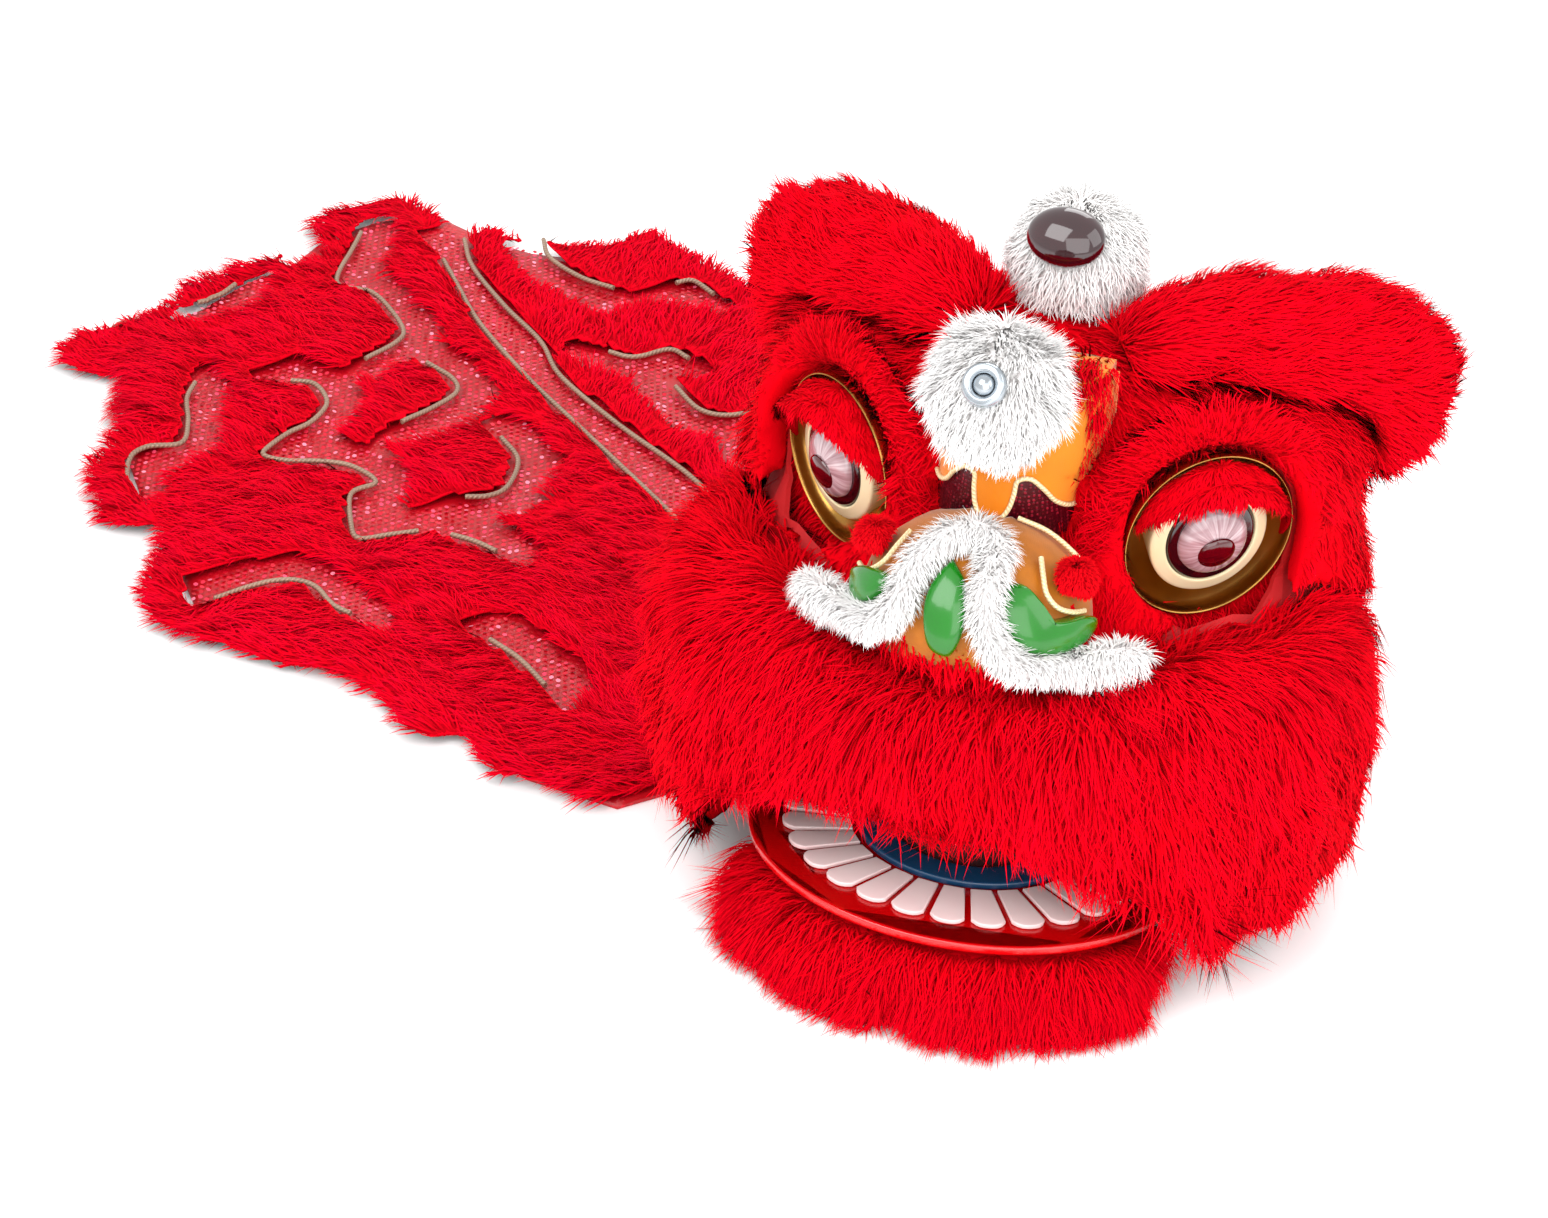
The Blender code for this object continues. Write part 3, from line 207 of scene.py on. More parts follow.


# Fur colours: root, tip, the other locks' tip, and the painted shade at the foot of each fibre
RED_FUR = fur_material("acrylic_fur_red", "#DC0010", "#F40016", "#EC001E", "#B4000A")
BODY_FUR = fur_material("acrylic_fur_crimson", "#D80018", "#F20020", "#EA002E", "#B00010")
WHITE_FUR = fur_material("acrylic_fur_white", "#FDFAF8", "#FFFFFF", "#FFFCFA", "#F2EAE8")
POMPOM_FUR = fur_material("acrylic_fur_pompom", "#E00414", "#FF0E1A", "#F6081A", "#B80008")


def lacquer(name, code, other, roughness, coat=0.6, grain=0.35):
    """Moulded board under gloss enamel: a wet, even highlight with a faint orange peel."""
    made, tree, shader = new_material(name, roughness=roughness, Coat_Weight=coat, Coat_Roughness=0.08)
    dye(tree, shader, 28, code, other)
    bump(tree, shader, cell_noise(tree, 1.6, 1.0), 0.03, grain)
    return made


def cloth_weave(name, code, other, thread, roughness=0.6, sheen=0.3):
    """Woven satin: fine crossing threads, which gives the eye a tight grain with a soft sheen."""
    made, tree, shader = new_material(name, roughness=roughness, Sheen_Weight=sheen)
    shader.inputs["Specular IOR Level"].default_value = 0.25
    place = add(tree, "ShaderNodeTexCoord").outputs["Object"]
    values = {"Vector": place, "Scale": 0.5 / (thread * MM)}
    warp, weft = (
        add(tree, "ShaderNodeTexWave", values, bands_direction=way).outputs["Fac"] for way in ("X", "Z")
    )
    both = put(tree, MATH, (warp, weft), operation="MULTIPLY")
    dye(tree, shader, 14, code, other)
    bump(tree, shader, both, 0.15, 0.4)
    return made


def sequin_ground(name, dark, lit_disc_colour, spacing):
    """Sequin mesh cloth: round pits of dark net between discs, with painted glints where discs catch the
    light in rows.
    The discs are drawn as round cells at their real spacing, each painted to its own brightness."""
    made, tree, shader = new_material(name, roughness=0.38)
    place = add(tree, "ShaderNodeTexCoord").outputs["Object"]
    values = {"Vector": place, "Scale": 1 / (spacing * MM), "Randomness": 0.25}
    cells = add(tree, "ShaderNodeTexVoronoi", values).outputs
    value = put(tree, "ShaderNodeSeparateColor", (cells["Color"],))
    spot = ramp(tree, cells["Distance"], ((0.30, "#FFFFFF"), (0.44, "#000000")))
    # Painted glint: each disc is coloured lighter at random, for the light that it catches
    disc_glint = put(tree, MATH, (spot, value), operation="MULTIPLY")
    paint(tree, shader, mixed(tree, disc_glint, colour(dark), colour(lit_disc_colour)))
    bump(tree, shader, spot, 0.4, 0.5)
    return made


# Two near colours for each, then a gloss finish's roughness, coat and grain, or a woven one's thread
GREEN_PATENT = lacquer("padded_patent_vinyl_green", "#066806", "#0B7C0A", 0.2, 0.5, 0.5)
JAW_GLOSS = lacquer("enamelled_board_red", "#D80408", "#C40006", 0.22)
TOOTH_WHITE = lacquer("painted_foam_tooth", "#FBE9E6", "#F2D2D2", 0.45, 0.2)
GUM_BLUE = lacquer("painted_board_blue", "#1B4C74", "#123A5C", 0.35, 0.4)
MOUTH_RED = cloth_weave("mouth_lining_felt", "#5A0008", "#38000A", 1.2)
COLLAR_CREAM = lacquer("vacuum_formed_styrene_cream", "#FFF6D2", "#F4E0A8", 0.3)
EYE_BLACK = lacquer("vacuum_formed_styrene_black", "#1C0509", "#2A0810", 0.12, 1.0)
PUPIL_GLOSS = lacquer("cast_resin_maroon", "#5C0310", "#420208", 0.08, 1.0)
HORN_GLOSS = lacquer("cast_resin_dark_maroon", "#380A14", "#1C0408", 0.06, 1.0)
SHELL_BOARD = lacquer("moulded_paper_board_red", "#CC0410", "#B0040C", 0.75, 0.0, 0.8)
LID_SATIN = cloth_weave("satin_over_card_red", "#D8000C", "#B00008", 0.8, 0.5, 0.0)
ORANGE_SATIN = cloth_weave("satin_applique_orange", "#EE8A02", "#E67C00", 0.7, 0.4)
GOLD_SATIN = cloth_weave("gold_brocade_satin", "#C87408", "#965404", 0.9, 0.42)
# Sequin grounds: the net's colour, then the lit colour of a disc's painted glint, then the disc spacing
BODY_SEQUINS = sequin_ground("sequin_mesh_cloth_crimson", "#B40012", "#DA0828", 4.6)
MAROON_SEQUINS = sequin_ground("sequin_cloth_maroon", "#4A0010", "#A81A34", 2.4)


def gold_film():
    """Mirror film on thin card: brown gold whose creases blur the room's reflection."""
    made, tree, shader = new_material("mirror_film_gold", roughness=0.24, metallic=1.0)
    dye(tree, shader, 30, "#D0A058", "#80581E")
    bump(tree, shader, cell_noise(tree, 9), 0.25, 0.5)
    return made


def eye_dome_film():
    """Vacuum-formed dome in clear grey film over pink: pale spokes run out from its middle."""
    made, tree, shader = new_material(
        "clear_film_grey_pink", roughness=0.2, Coat_Weight=1.0, Coat_Roughness=0.06
    )
    spoke = add(tree, "ShaderNodeAttribute", attribute_name="spoke").outputs["Vector"]
    rays = add(tree, "ShaderNodeTexNoise", {"Vector": spoke, "Scale": 7.0, "Detail": 3.0}).outputs["Fac"]
    paint(tree, shader, ramp(tree, rays, ((0.30, "#8A6068"), (0.50, "#B8949A"), (0.72, "#DCC8CC"))))
    return made


def silver_film():
    """Vacuum-metallised plastic: a grey mirror, a little blurred."""
    made, tree, shader = new_material("mirror_plastic_silver", roughness=0.18, metallic=0.85)
    dye(tree, shader, 5, "#C4CAD0", "#8A9298")
    return made


def piping_cord(name, code, other):
    """Twisted metallic cord: slanting strands, with painted shade in the grooves between them, which gives
    the eye a broken glint along the edge.
    """
    made, tree, shader = new_material(name, roughness=0.42, metallic=0.25)
    strand = add(tree, "ShaderNodeAttribute", attribute_name="strand").outputs["Fac"]
    wave = put(tree, MATH, (strand, 2 * math.pi), operation="MULTIPLY")
    turn = put(tree, MATH, (wave,), operation="SINE")
    lift = put(tree, "ShaderNodeMapRange", (turn, -1.0, 1.0))
    # Painted shade: the cord is coloured darker in the grooves between its strands
    shade = mixed(tree, lift, colour(other), colour(code))
    paint(tree, shader, mixed(tree, cell_noise(tree, 25), shade, colour(code)))
    bump(tree, shader, lift, 0.3, 0.8)
    return made


DISH_GOLD = gold_film()
EYE_FILM = eye_dome_film()
SILVER = silver_film()
# Cords: their colour, then the painted shade of their grooves
BODY_PIPING = piping_cord("metallic_cord_bronze", "#A88E78", "#5E4638")
CREAM_PIPING = piping_cord("metallic_cord_cream", "#FFEFC0", "#E0B870")


def sequin_disc_material():
    """Vacuum-metallised PET sequins: each disc a small pink-red mirror, some painted pale as painted glints
    where they would catch the light.
    """
    made, tree, shader = new_material("metallised_sequin_crimson", roughness=0.5, metallic=0.3)
    tint = add(tree, "ShaderNodeAttribute", attribute_name="tint").outputs["Fac"]
    # Painted glint: the pale pink top of the ramp, given to discs at random
    stops = ((0.0, "#B4001C"), (0.6, "#DC0A30"), (0.85, "#F04064"), (1.0, "#FF90A8"))
    paint(tree, shader, ramp(tree, tint, stops))
    return made


SEQUIN_DISC = sequin_disc_material()


def placed(name, data):
    """A new object of that mesh, light or camera, in the scene."""
    made = bpy.data.objects.new(name, data)
    bpy.context.scene.collection.objects.link(made)
    return made


def dress(mesh, finish):
    mesh.materials.clear()
    mesh.materials.append(finish)


def object_of(name, mesh, finish):
    dress(mesh, finish)
    return placed(name, mesh)


def mesh_from(name, shape, smooth=True, sharp=40):
    mesh = bpy.data.meshes.new(name)
    shape.to_mesh(mesh)
    shape.free()
    if smooth:
        mesh.shade_smooth()
        mesh.set_sharp_from_angle(angle=math.radians(sharp))
    return mesh


def join_rows(shape, first, second, closed=True):
    """Quads between two rows of points, which are joined round where the rows are closed."""
    count = len(first)
    for i in range(count if closed else count - 1):
        j = (i + 1) % count
        shape.faces.new((first[i], first[j], second[j], second[i]))


def settle(piece, body, nodes=(), slot=None):
    """Rides the finished piece on its body and hides the nodes it stands for; slot is not used."""
    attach(piece, body)
    if nodes:
        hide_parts(*nodes)
    return piece


def plain_copy(piece):
    """The piece's mesh with its modifiers applied."""
    graph = bpy.context.evaluated_depsgraph_get()
    return bpy.data.meshes.new_from_object(piece.evaluated_get(graph))


def baked(piece):
    """Replaces a piece's mesh by its evaluated one and removes the modifiers."""
    mesh = plain_copy(piece)
    piece.modifiers.clear()
    piece.data = mesh
    return piece


# Fur

BLADE_STEPS = 2
BLADE_BEND = 0.55
BLADE_DROOP = 0.22
BLADE_TAPER = 1.6


def blade_object():
    """One fibre tuft of unit length: a tapered strip of three triangles that bends towards +Y."""
    shape = bmesh.new()
    layer = shape.verts.layers.float.new("along")
    rows = []
    for i in range(BLADE_STEPS + 1):
        t = i / BLADE_STEPS
        half = 0.5 * (1 - t ** BLADE_TAPER)
        row = []
        for x in (0,) if i == BLADE_STEPS else (-half, half):
            vert = shape.verts.new((x, BLADE_BEND * t * t, t * (1 - BLADE_DROOP * t)))
            vert[layer] = t
            row.append(vert)
        rows.append(row)
    for low, high in zip(rows, rows[1:]):
        shape.faces.new((low[0], low[1], *reversed(high)))
    return placed("blade", mesh_from("blade", shape, sharp=180))


BLADE = blade_object()
FUR_INPUTS = (
    "Density", "Length", "Width", "Lean", "Frizz", "Lock Size", "Lock Pull", "Lock Sway", "Floor",
)
HAIR_FROM = 0.06
FUR_FLOOR = 0.4 * MM


def new_tree(name, source, numbers, result):
    """A Geometry Nodes tree from a geometry, numbers, a seed and a finish, and its inputs' sockets."""
    tree = bpy.data.node_groups.new(name, "GeometryNodeTree")
    inputs = [(source, "Geometry")] + [(number, "Float") for number in numbers]
    for socket, kind in inputs + [("Seed", "Int"), ("Finish", "Material")]:
        tree.interface.new_socket(socket, in_out="INPUT", socket_type=f"NodeSocket{kind}")
    tree.interface.new_socket(result, in_out="OUTPUT", socket_type="NodeSocketGeometry")
    return tree, add(tree, "NodeGroupInput").outputs


def end_tree(tree, geometry, finish):
    done = put(tree, "GeometryNodeSetMaterial", {"Geometry": geometry, "Material": finish})
    add(tree, "NodeGroupOutput", (done,))


def run_tree(piece, tree, finish, seed, values):
    """Runs a tree on a piece, with its numbers by name, and bakes the piece to plain mesh."""
    step = piece.modifiers.new(tree.name, "NODES")
    step.node_group = tree
    sockets = {item.name: item.identifier for item in tree.interface.items_tree if item.in_out == "INPUT"}
    step[sockets["Finish"]] = finish
    step[sockets["Seed"]] = seed
    for name, value in values.items():
        step[sockets[name]] = float(value)
    baked(piece)
    dress(piece.data, finish)
    return piece


def fur_tree():
    """Combed fur on a pelt. The pelt's points carry comb, the way the fur lies, and reach, its share
    of the full length; each blade leans from the pelt's normal to the comb, and its outer part is
    drawn to the middle of its lock."""
    tree, given = new_tree("combed_fur", "Pelt", FUR_INPUTS, "Fur")
    node = partial(put, tree)
    position = node("GeometryNodeInputPosition")
    comb = node(NAMED, {"Name": "comb"}, data_type="FLOAT_VECTOR")
    stand = node(NAMED, {"Name": "stand"}, data_type="FLOAT_VECTOR")
    root = node(NAMED, {"Name": "root"}, data_type="FLOAT_VECTOR")
    reach = node(NAMED, {"Name": "reach"}, data_type="FLOAT")
    along = node(NAMED, {"Name": "along"}, data_type="FLOAT")

    def soft_normal(normal):
        """The pelt's normal, turned up a little and never down, as light scatters between fibres."""
        x, y, z = add(tree, "ShaderNodeSeparateXYZ", (normal,)).outputs
        level = node(MATH, (z, -0.1), operation="MAXIMUM")
        up = node(MATH, (level, 0.35), operation="ADD")
        raised = node("ShaderNodeCombineXYZ", (x, y, up))
        return node(VECTOR, (raised,), operation="NORMALIZE")

    # Roots, with what their blades have to know of the pelt
    haired = node(MATH, (reach, HAIR_FROM), operation="GREATER_THAN")
    density = node(MATH, (given["Density"], haired), operation="MULTIPLY")
    spread = add(
        tree, "GeometryNodeDistributePointsOnFaces",
        {"Mesh": given["Pelt"], "Density": density, "Seed": given["Seed"]}, distribute_method="RANDOM",
    ).outputs
    chance = add(tree, RANDOM, {"Seed": given["Seed"]}, data_type="FLOAT").outputs[1]
    points = spread["Points"]
    for name, value, kind in (
        ("stand", spread["Normal"], "FLOAT_VECTOR"),
        ("pelt_normal", soft_normal(spread["Normal"]), "FLOAT_VECTOR"),
        ("root", position, "FLOAT_VECTOR"),
        ("tint", chance, "FLOAT"),
    ):
        values = {"Geometry": points, "Name": name, "Value": value}
        points = node(STORE, values, data_type=kind, domain="POINT")

    # Blades, each turned from the pelt's normal towards the comb
    scatter = node(
        RANDOM, {"Min": (-1.0, -1.0, -1.0), "Max": (1.0, 1.0, 1.0), "Seed": given["Seed"]},
        data_type="FLOAT_VECTOR",
    )
    rise = node(MATH, (1.0, given["Lean"]), operation="SUBTRACT")
    way = node(VECTOR, {0: stand, "Scale": rise}, operation="SCALE")
    for part, share in ((comb, given["Lean"]), (scatter, given["Frizz"])):
        lean = node(VECTOR, {0: part, "Scale": share}, operation="SCALE")
        way = node(VECTOR, (way, lean), operation="ADD")
    way = node(VECTOR, (way,), operation="NORMALIZE")
    stray = node(VECTOR, {0: scatter, "Scale": 0.35}, operation="SCALE")
    side = node(VECTOR, (comb, stray), operation="ADD")
    turn = node(
        "FunctionNodeAxesToRotation", {"Primary Axis": way, "Secondary Axis": side},
        primary_axis="Z", secondary_axis="Y",
    )
    other_seed = node(MATH, (given["Seed"], 5.0), operation="ADD")
    vary = add(tree, RANDOM, {2: 0.72, 3: 1.12, "Seed": other_seed}, data_type="FLOAT").outputs[1]
    long = node(MATH, (given["Length"], vary), operation="MULTIPLY")
    long = node(MATH, (long, reach), operation="MULTIPLY")
    size = node("ShaderNodeCombineXYZ", (given["Width"], long, long))
    blade = add(tree, "GeometryNodeObjectInfo", {"Object": BLADE}).outputs["Geometry"]
    tufts = node(
        "GeometryNodeInstanceOnPoints",
        {"Points": points, "Instance": blade, "Rotation": turn, "Scale": size},
    )
    fur = node("GeometryNodeRealizeInstances", (tufts,))

    # Locks: a blade's outer part is drawn to its cell's middle and swayed with its neighbours
    scale = node(MATH, (1.0, given["Lock Size"]), operation="DIVIDE")
    cells = add(tree, "ShaderNodeTexVoronoi", {"Vector": root, "Scale": scale, "Randomness": 1.0}).outputs
    wave = add(tree, "ShaderNodeTexNoise", {"Vector": root, "Scale": 22.0, "Detail": 1.0}).outputs["Color"]
    bend = node(MATH, (along, 1.5), operation="POWER")
    inward = node(VECTOR, (cells["Position"], root), operation="SUBTRACT")
    pull = node(MATH, (bend, given["Lock Pull"]), operation="MULTIPLY")
    offset = node(VECTOR, {0: inward, "Scale": pull}, operation="SCALE")
    amount = node(MATH, (bend, given["Lock Sway"]), operation="MULTIPLY")
    amount = node(MATH, (amount, given["Length"]), operation="MULTIPLY")
    for swing, share in ((cells["Color"], 1.0), (wave, 1.6)):
        aside = node(VECTOR, (swing, (0.5, 0.5, 0.5)), operation="SUBTRACT")
        strength = node(MATH, (amount, share), operation="MULTIPLY")
        sway = node(VECTOR, {0: aside, "Scale": strength}, operation="SCALE")
        offset = node(VECTOR, (offset, sway), operation="ADD")
    fur = node("GeometryNodeSetPosition", {"Geometry": fur, "Offset": offset})

    # Nothing goes below the floor
    x, y, z = add(tree, "ShaderNodeSeparateXYZ", (position,)).outputs
    above = node(MATH, (z, given["Floor"]), operation="MAXIMUM")
    raised = node("ShaderNodeCombineXYZ", (x, y, above))
    fur = node("GeometryNodeSetPosition", {"Geometry": fur, "Position": raised})

    # The pelt itself, coloured as a fibre's lower part, in the painted shade of the roots
    skin = given["Pelt"]
    upward = soft_normal(node("GeometryNodeInputNormal"))
    for name, value, kind in (("pelt_normal", upward, "FLOAT_VECTOR"), ("along", 0.4, "FLOAT")):
        values = {"Geometry": skin, "Name": name, "Value": value}
        skin = node(STORE, values, data_type=kind, domain="POINT")
    joined = add(tree, "GeometryNodeJoinGeometry")
    tree.links.new(skin, joined.inputs[0])
    tree.links.new(fur, joined.inputs[0])
    end_tree(tree, joined.outputs[0], given["Finish"])
    return tree


FUR = fur_tree()


class Pile(NamedTuple):
    """How a fur is cut and combed. Lengths are in millimetres. Lean runs from 0, upright on the pelt,
    to 1, along the comb; pull draws a lock's blades together, and sway bends the lock aside."""

    length: float
    width: float
    lean: float
    frizz: float
    lock: float
    pull: float
    sway: float


MUZZLE_PILE = Pile(40, 1.55, 0.60, 0.16, 20, 0.45, 0.32)
HEAD_PILE = Pile(23, 1.4, 0.62, 0.22, 16, 0.35, 0.40)
EAR_PILE = Pile(25, 1.5, 0.50, 0.22, 13, 0.40, 0.42)
BEARD_PILE = Pile(40, 1.4, 0.55, 0.22, 14, 0.50, 0.40)
BODY_PILE = Pile(24, 1.5, 0.62, 0.24, 13, 0.42, 0.42)
FOREHEAD_PILE = Pile(14, 1.1, 0.12, 0.30, 8, 0.35, 0.25)
HORN_PILE = Pile(13, 1.1, 0.25, 0.35, 7, 0.25, 0.30)
CREST_PILE = Pile(18, 1.2, 0.45, 0.30, 9, 0.35, 0.35)
TRIM_PILE = Pile(10, 1.0, 0.20, 0.40, 6, 0.30, 0.30)
POMPOM_PILE = Pile(4.5, 0.9, 0.10, 0.30, 4, 0.10, 0.20)
EYE_PILE = Pile(14, 1.3, 0.50, 0.30, 10, 0.30, 0.40)
LID_PILE = Pile(10, 1.3, 0.72, 0.20, 10, 0.30, 0.30)
NOSE_PILE = Pile(20, 1.4, 0.60, 0.30, 10, 0.30, 0.40)
BRIDGE_PILE = Pile(20, 1.4, 0.55, 0.30, 10, 0.30, 0.40)


def haired_area(mesh):
    """The area of the faces whose points have any reach, in square metres."""
    share = np.empty(len(mesh.vertices), dtype=np.float32)
    mesh.attributes["reach"].data.foreach_get("value", share)
    return sum(p.area for p in mesh.polygons if min(share[v] for v in p.vertices) > HAIR_FROM)


def grow_fur(piece, finish, seed, blades, pile):
    """Grows about that many blades of a pile on a pelt."""
    values = {
        "Density": blades / haired_area(piece.data),
        "Length": pile.length * MM,
        "Width": pile.width * MM,
        "Lean": pile.lean,
        "Frizz": pile.frizz,
        "Lock Size": pile.lock * MM,
        "Lock Pull": pile.pull,
        "Lock Sway": pile.sway,
        "Floor": FUR_FLOOR,
    }
    return run_tree(piece, FUR, finish, seed, values)


def cad_copy(nodes):
    """The CAD nodes' meshes in one, with the loose triangles merged."""
    shape = bmesh.new()
    for name in nodes:
        shape.from_mesh(NODES[name].data)
    bmesh.ops.remove_doubles(shape, verts=shape.verts, dist=0.02 * MM)
    mesh = bpy.data.meshes.new("copy")
    shape.to_mesh(mesh)
    shape.free()
    return mesh


def fur_fields(mesh):
    """Adds the comb and reach attributes, then returns both, since adding one moves the other."""
    mesh.attributes.new("comb", "FLOAT_VECTOR", "POINT")
    mesh.attributes.new("reach", "FLOAT", "POINT")
    return mesh.attributes["comb"], mesh.attributes["reach"]


def add_fur_fields(mesh, comb, reach):
    """Fills comb and reach from functions of a point's place in the head's frame and its normal."""
    lay, share = fur_fields(mesh)
    for i, vert in enumerate(mesh.vertices):
        place, normal = (vert.co - HEAD) / MM, vert.normal
        way = comb(place, normal)
        way = way - normal * way.dot(normal)
        lay.data[i].vector = way.normalized() if way.length > 1e-6 else Vector((0, 0, 0))
        share.data[i].value = reach(place, normal)


def pelt(name, nodes, cell, inset, comb, reach, smooth=6):
    """A soft closed copy of CAD fur forms in even cells, sunk by the inset, with its comb and reach."""
    made = placed(name, cad_copy(nodes))
    even = made.modifiers.new("even", "REMESH")
    even.mode = "VOXEL"
    even.voxel_size = cell * MM
    soft = made.modifiers.new("soft", "SMOOTH")
    soft.iterations = smooth
    soft.factor = 0.5
    baked(made)
    mesh = made.data
    mesh.shade_smooth()
    normals = [v.normal.copy() for v in mesh.vertices]
    add_fur_fields(mesh, comb, reach)
    for vert, normal in zip(mesh.vertices, normals):
        vert.co -= normal * inset * MM
    return made


def outward(place, centre_y=60):
    return Vector((place.x, place.y - centre_y, 0)).normalized()


# The fringe over one end of the teeth: its middle, half its width, where it starts and fades in
FRINGE_X, FRINGE_HALF_WIDTH = 115, 80
FRINGE_TOP, FRINGE_FADE = 150, 40
# Where the nose sits in the muzzle's fur, and how far its shorter fur reaches round it
NOSE_SEAT, NOSE_SEAT_HALF = (0, -85, 225), (120, 70, 45)
CHEEK_X = 230


def over_mouth(place):
    """How much a place belongs to the fringe that hangs over one end of the teeth, from 0 to 1."""
    if place.y > 0:
        return 0.0
    beside = max(0.0, 1 - abs(place.x - FRINGE_X) / FRINGE_HALF_WIDTH)
    return beside * max(0.0, min(1.0, (FRINGE_TOP - place.z) / FRINGE_FADE))


def muzzle_comb(place, normal):
    """Down and outwards over the roll, with the cheeks swept back."""
    cheek = min(1, abs(place.x) / CHEEK_X)
    way = outward(place, 40) * 0.55 * (1 - 0.8 * over_mouth(place)) + Vector((0, 0, -1.0))
    return way + Vector((0, 0.35 * cheek, 0))


def muzzle_reach(place, normal):
    """Full on the outer roll, longer over the mouth, shorter by the nose and the floor, and none
    where the roll sits on the shell."""
    inward = normal.dot(outward(place)) < -0.3
    if (inward and place.z < 190) or (normal.z < -0.7 and place.z < 60):
        return 0.0
    from_nose = Vector([(p - c) / h for p, c, h in zip(place, NOSE_SEAT, NOSE_SEAT_HALF)]).length
    by_floor = min(1.0, 0.4 + max(0.0, place.z - 15) / 70)
    return (1 - 0.3 * max(0.0, 1 - from_nose) + 1.2 * over_mouth(place)) * by_floor


def make_muzzle():
    skin = pelt("muzzle_fur_pile", ["muzzle_fur"], 7.5, 15, muzzle_comb, muzzle_reach)
    grow_fur(skin, RED_FUR, 11, 40500, MUZZLE_PILE)
    return settle(skin, "head", ["muzzle_fur"], "red_fur")


def head_comb(place, normal):
    """Away from the crown, and down the sides."""
    away = Vector((place.x, place.y - 90, 0)).normalized()
    return away * 0.7 + Vector((0, 0, -0.8 if place.z < 250 else -0.2))


def eye_centre(side):
    return Vector((side * 115, 35, 253))


EYES = [eye_centre(side) for side, _ in SIDES]


def head_reach(place, normal):
    """None inside the hollow and under the face, and short round the eyes."""
    away = Vector((place.x, place.y - 100, (place.z - 150) * 0.9))
    if normal.dot(away) < 0 and place.z < 300:
        return 0.0
    if place.z < 8 and normal.z < -0.5:
        return 0.0
    near = min((place - eye).length for eye in EYES)
    return min(1.0, max(0.4, (near - 50) / 40))


def make_head():
    skin = pelt("head_fur_pile", ["head_fur"], 7, 0, head_comb, head_reach, 2)
    grow_fur(skin, RED_FUR, 23, 33500, HEAD_PILE)
    return settle(skin, "head", ["head_fur"], "red_fur")


EAR_SWEEP = math.radians(37.5)
EAR_DROOP = math.radians(15)
EAR_ROOT = (35, 70, 336)


def make_ear(side, label):
    """An ear whose fur lies outwards from its middle line and along to its tip."""
    axis = Vector((
        side * math.cos(EAR_SWEEP) * math.cos(EAR_DROOP),
        math.sin(EAR_SWEEP) * math.cos(EAR_DROOP),
        -math.sin(EAR_DROOP),
    ))
    root = Vector((side * EAR_ROOT[0], EAR_ROOT[1], EAR_ROOT[2]))

    def comb(place, normal):
        run = (place - root).dot(axis)
        radial = place - (root + axis * run)
        return axis * 0.8 + radial.normalized() * 0.7 + Vector((0, 0, -0.15))

    skin = pelt(f"ear_{label}_pile", [f"ear_{label}"], 6.5, 8, comb, full)
    grow_fur(skin, RED_FUR, 31 + side, 18000, EAR_PILE)
    return settle(skin, "head", [f"ear_{label}"], "red_fur")


def still(place, normal):
    """A comb that only hangs."""
    return Vector((0, 0, -1))


def full(place, normal):
    """A reach that is the same all over."""
    return 1.0


def make_ball(name, node, slot, finish, seed, blades, pile, cell, inset):
    skin = pelt(name, [node], cell, inset, still, full, 3)
    grow_fur(skin, finish, seed, blades, pile)
    return settle(skin, "head", [node], slot)


TRIM_RUN = (
    (-107, -62, 226), (-88, -76, 229), (-66, -90, 232), (-46, -108, 240), (-32, -111, 258), (-28, -97, 275),
    (-16, -80, 286), (0, -70, 290), (15, -76, 288), (18, -94, 280), (19, -107, 268), (26, -115, 252),
    (40, -114, 236), (62, -96, 228), (86, -80, 227), (107, -64, 226),
)


def trim_size(share):
    """The trim's two ends are fuller than the run between them, and taper to nothing at their tips."""
    end = min(share, 1 - share)
    return (1 + 0.35 * max(0.0, 1 - abs(end - 0.07) / 0.07)) * min(1.0, 0.25 + end / 0.03)


def make_white_fur():
    for name, node, seed, blades, pile, cell, inset in (
        ("forehead_pompom_pile", "mirror_pompom", 41, 7500, FOREHEAD_PILE, 4, 7),
        ("horn_pile", "horn_fur", 43, 7500, HORN_PILE, 5, 7),
        ("crest_pile", "crest_fur", 47, 6500, CREST_PILE, 5, 8),
    ):
        make_ball(name, node, "white_fur", WHITE_FUR, seed, blades, pile, cell, inset)
    path = [Vector(p) for p in TRIM_RUN]
    path[2:-2] = [on_nose(p, 5.0) for p in path[2:-2]]
    core = tube("nose_trim_pile", smooth_path(path, 3), 7.5, WHITE_FUR, 12, trim_size)
    add_fur_fields(core.data, still, full)
    grow_fur(core, WHITE_FUR, 53, 9500, TRIM_PILE)
    settle(core, "head", ["nose_trim"], "white_fur")
    for side, label in SIDES:
        name, node = f"nose_pompom_{label}_pile", f"nose_pompom_{label}"
        make_ball(name, node, "red_fur", POMPOM_FUR, 57 + side, 2000, POMPOM_PILE, 2.4, 3.5)


def beard_comb(place, normal):
    """Outwards from the jaw and down."""
    away = Vector((place.x * 0.5, place.y + 40, 0)).normalized()
    return away * 0.8 + Vector((0, 0, -0.7))


def beard_reach(place, normal):
    """None under the jaw, behind it and on its plate."""
    share = Vector((place.x / JAW_HALF_WIDTH, (place.y - JAW_CENTRE_Y) / JAW_HALF_DEPTH)).length
    hidden = normal.z < -0.6 or normal.y > 0.3 or (normal.z > 0.5 and share < 0.93)
    return 0.0 if hidden else 1.0


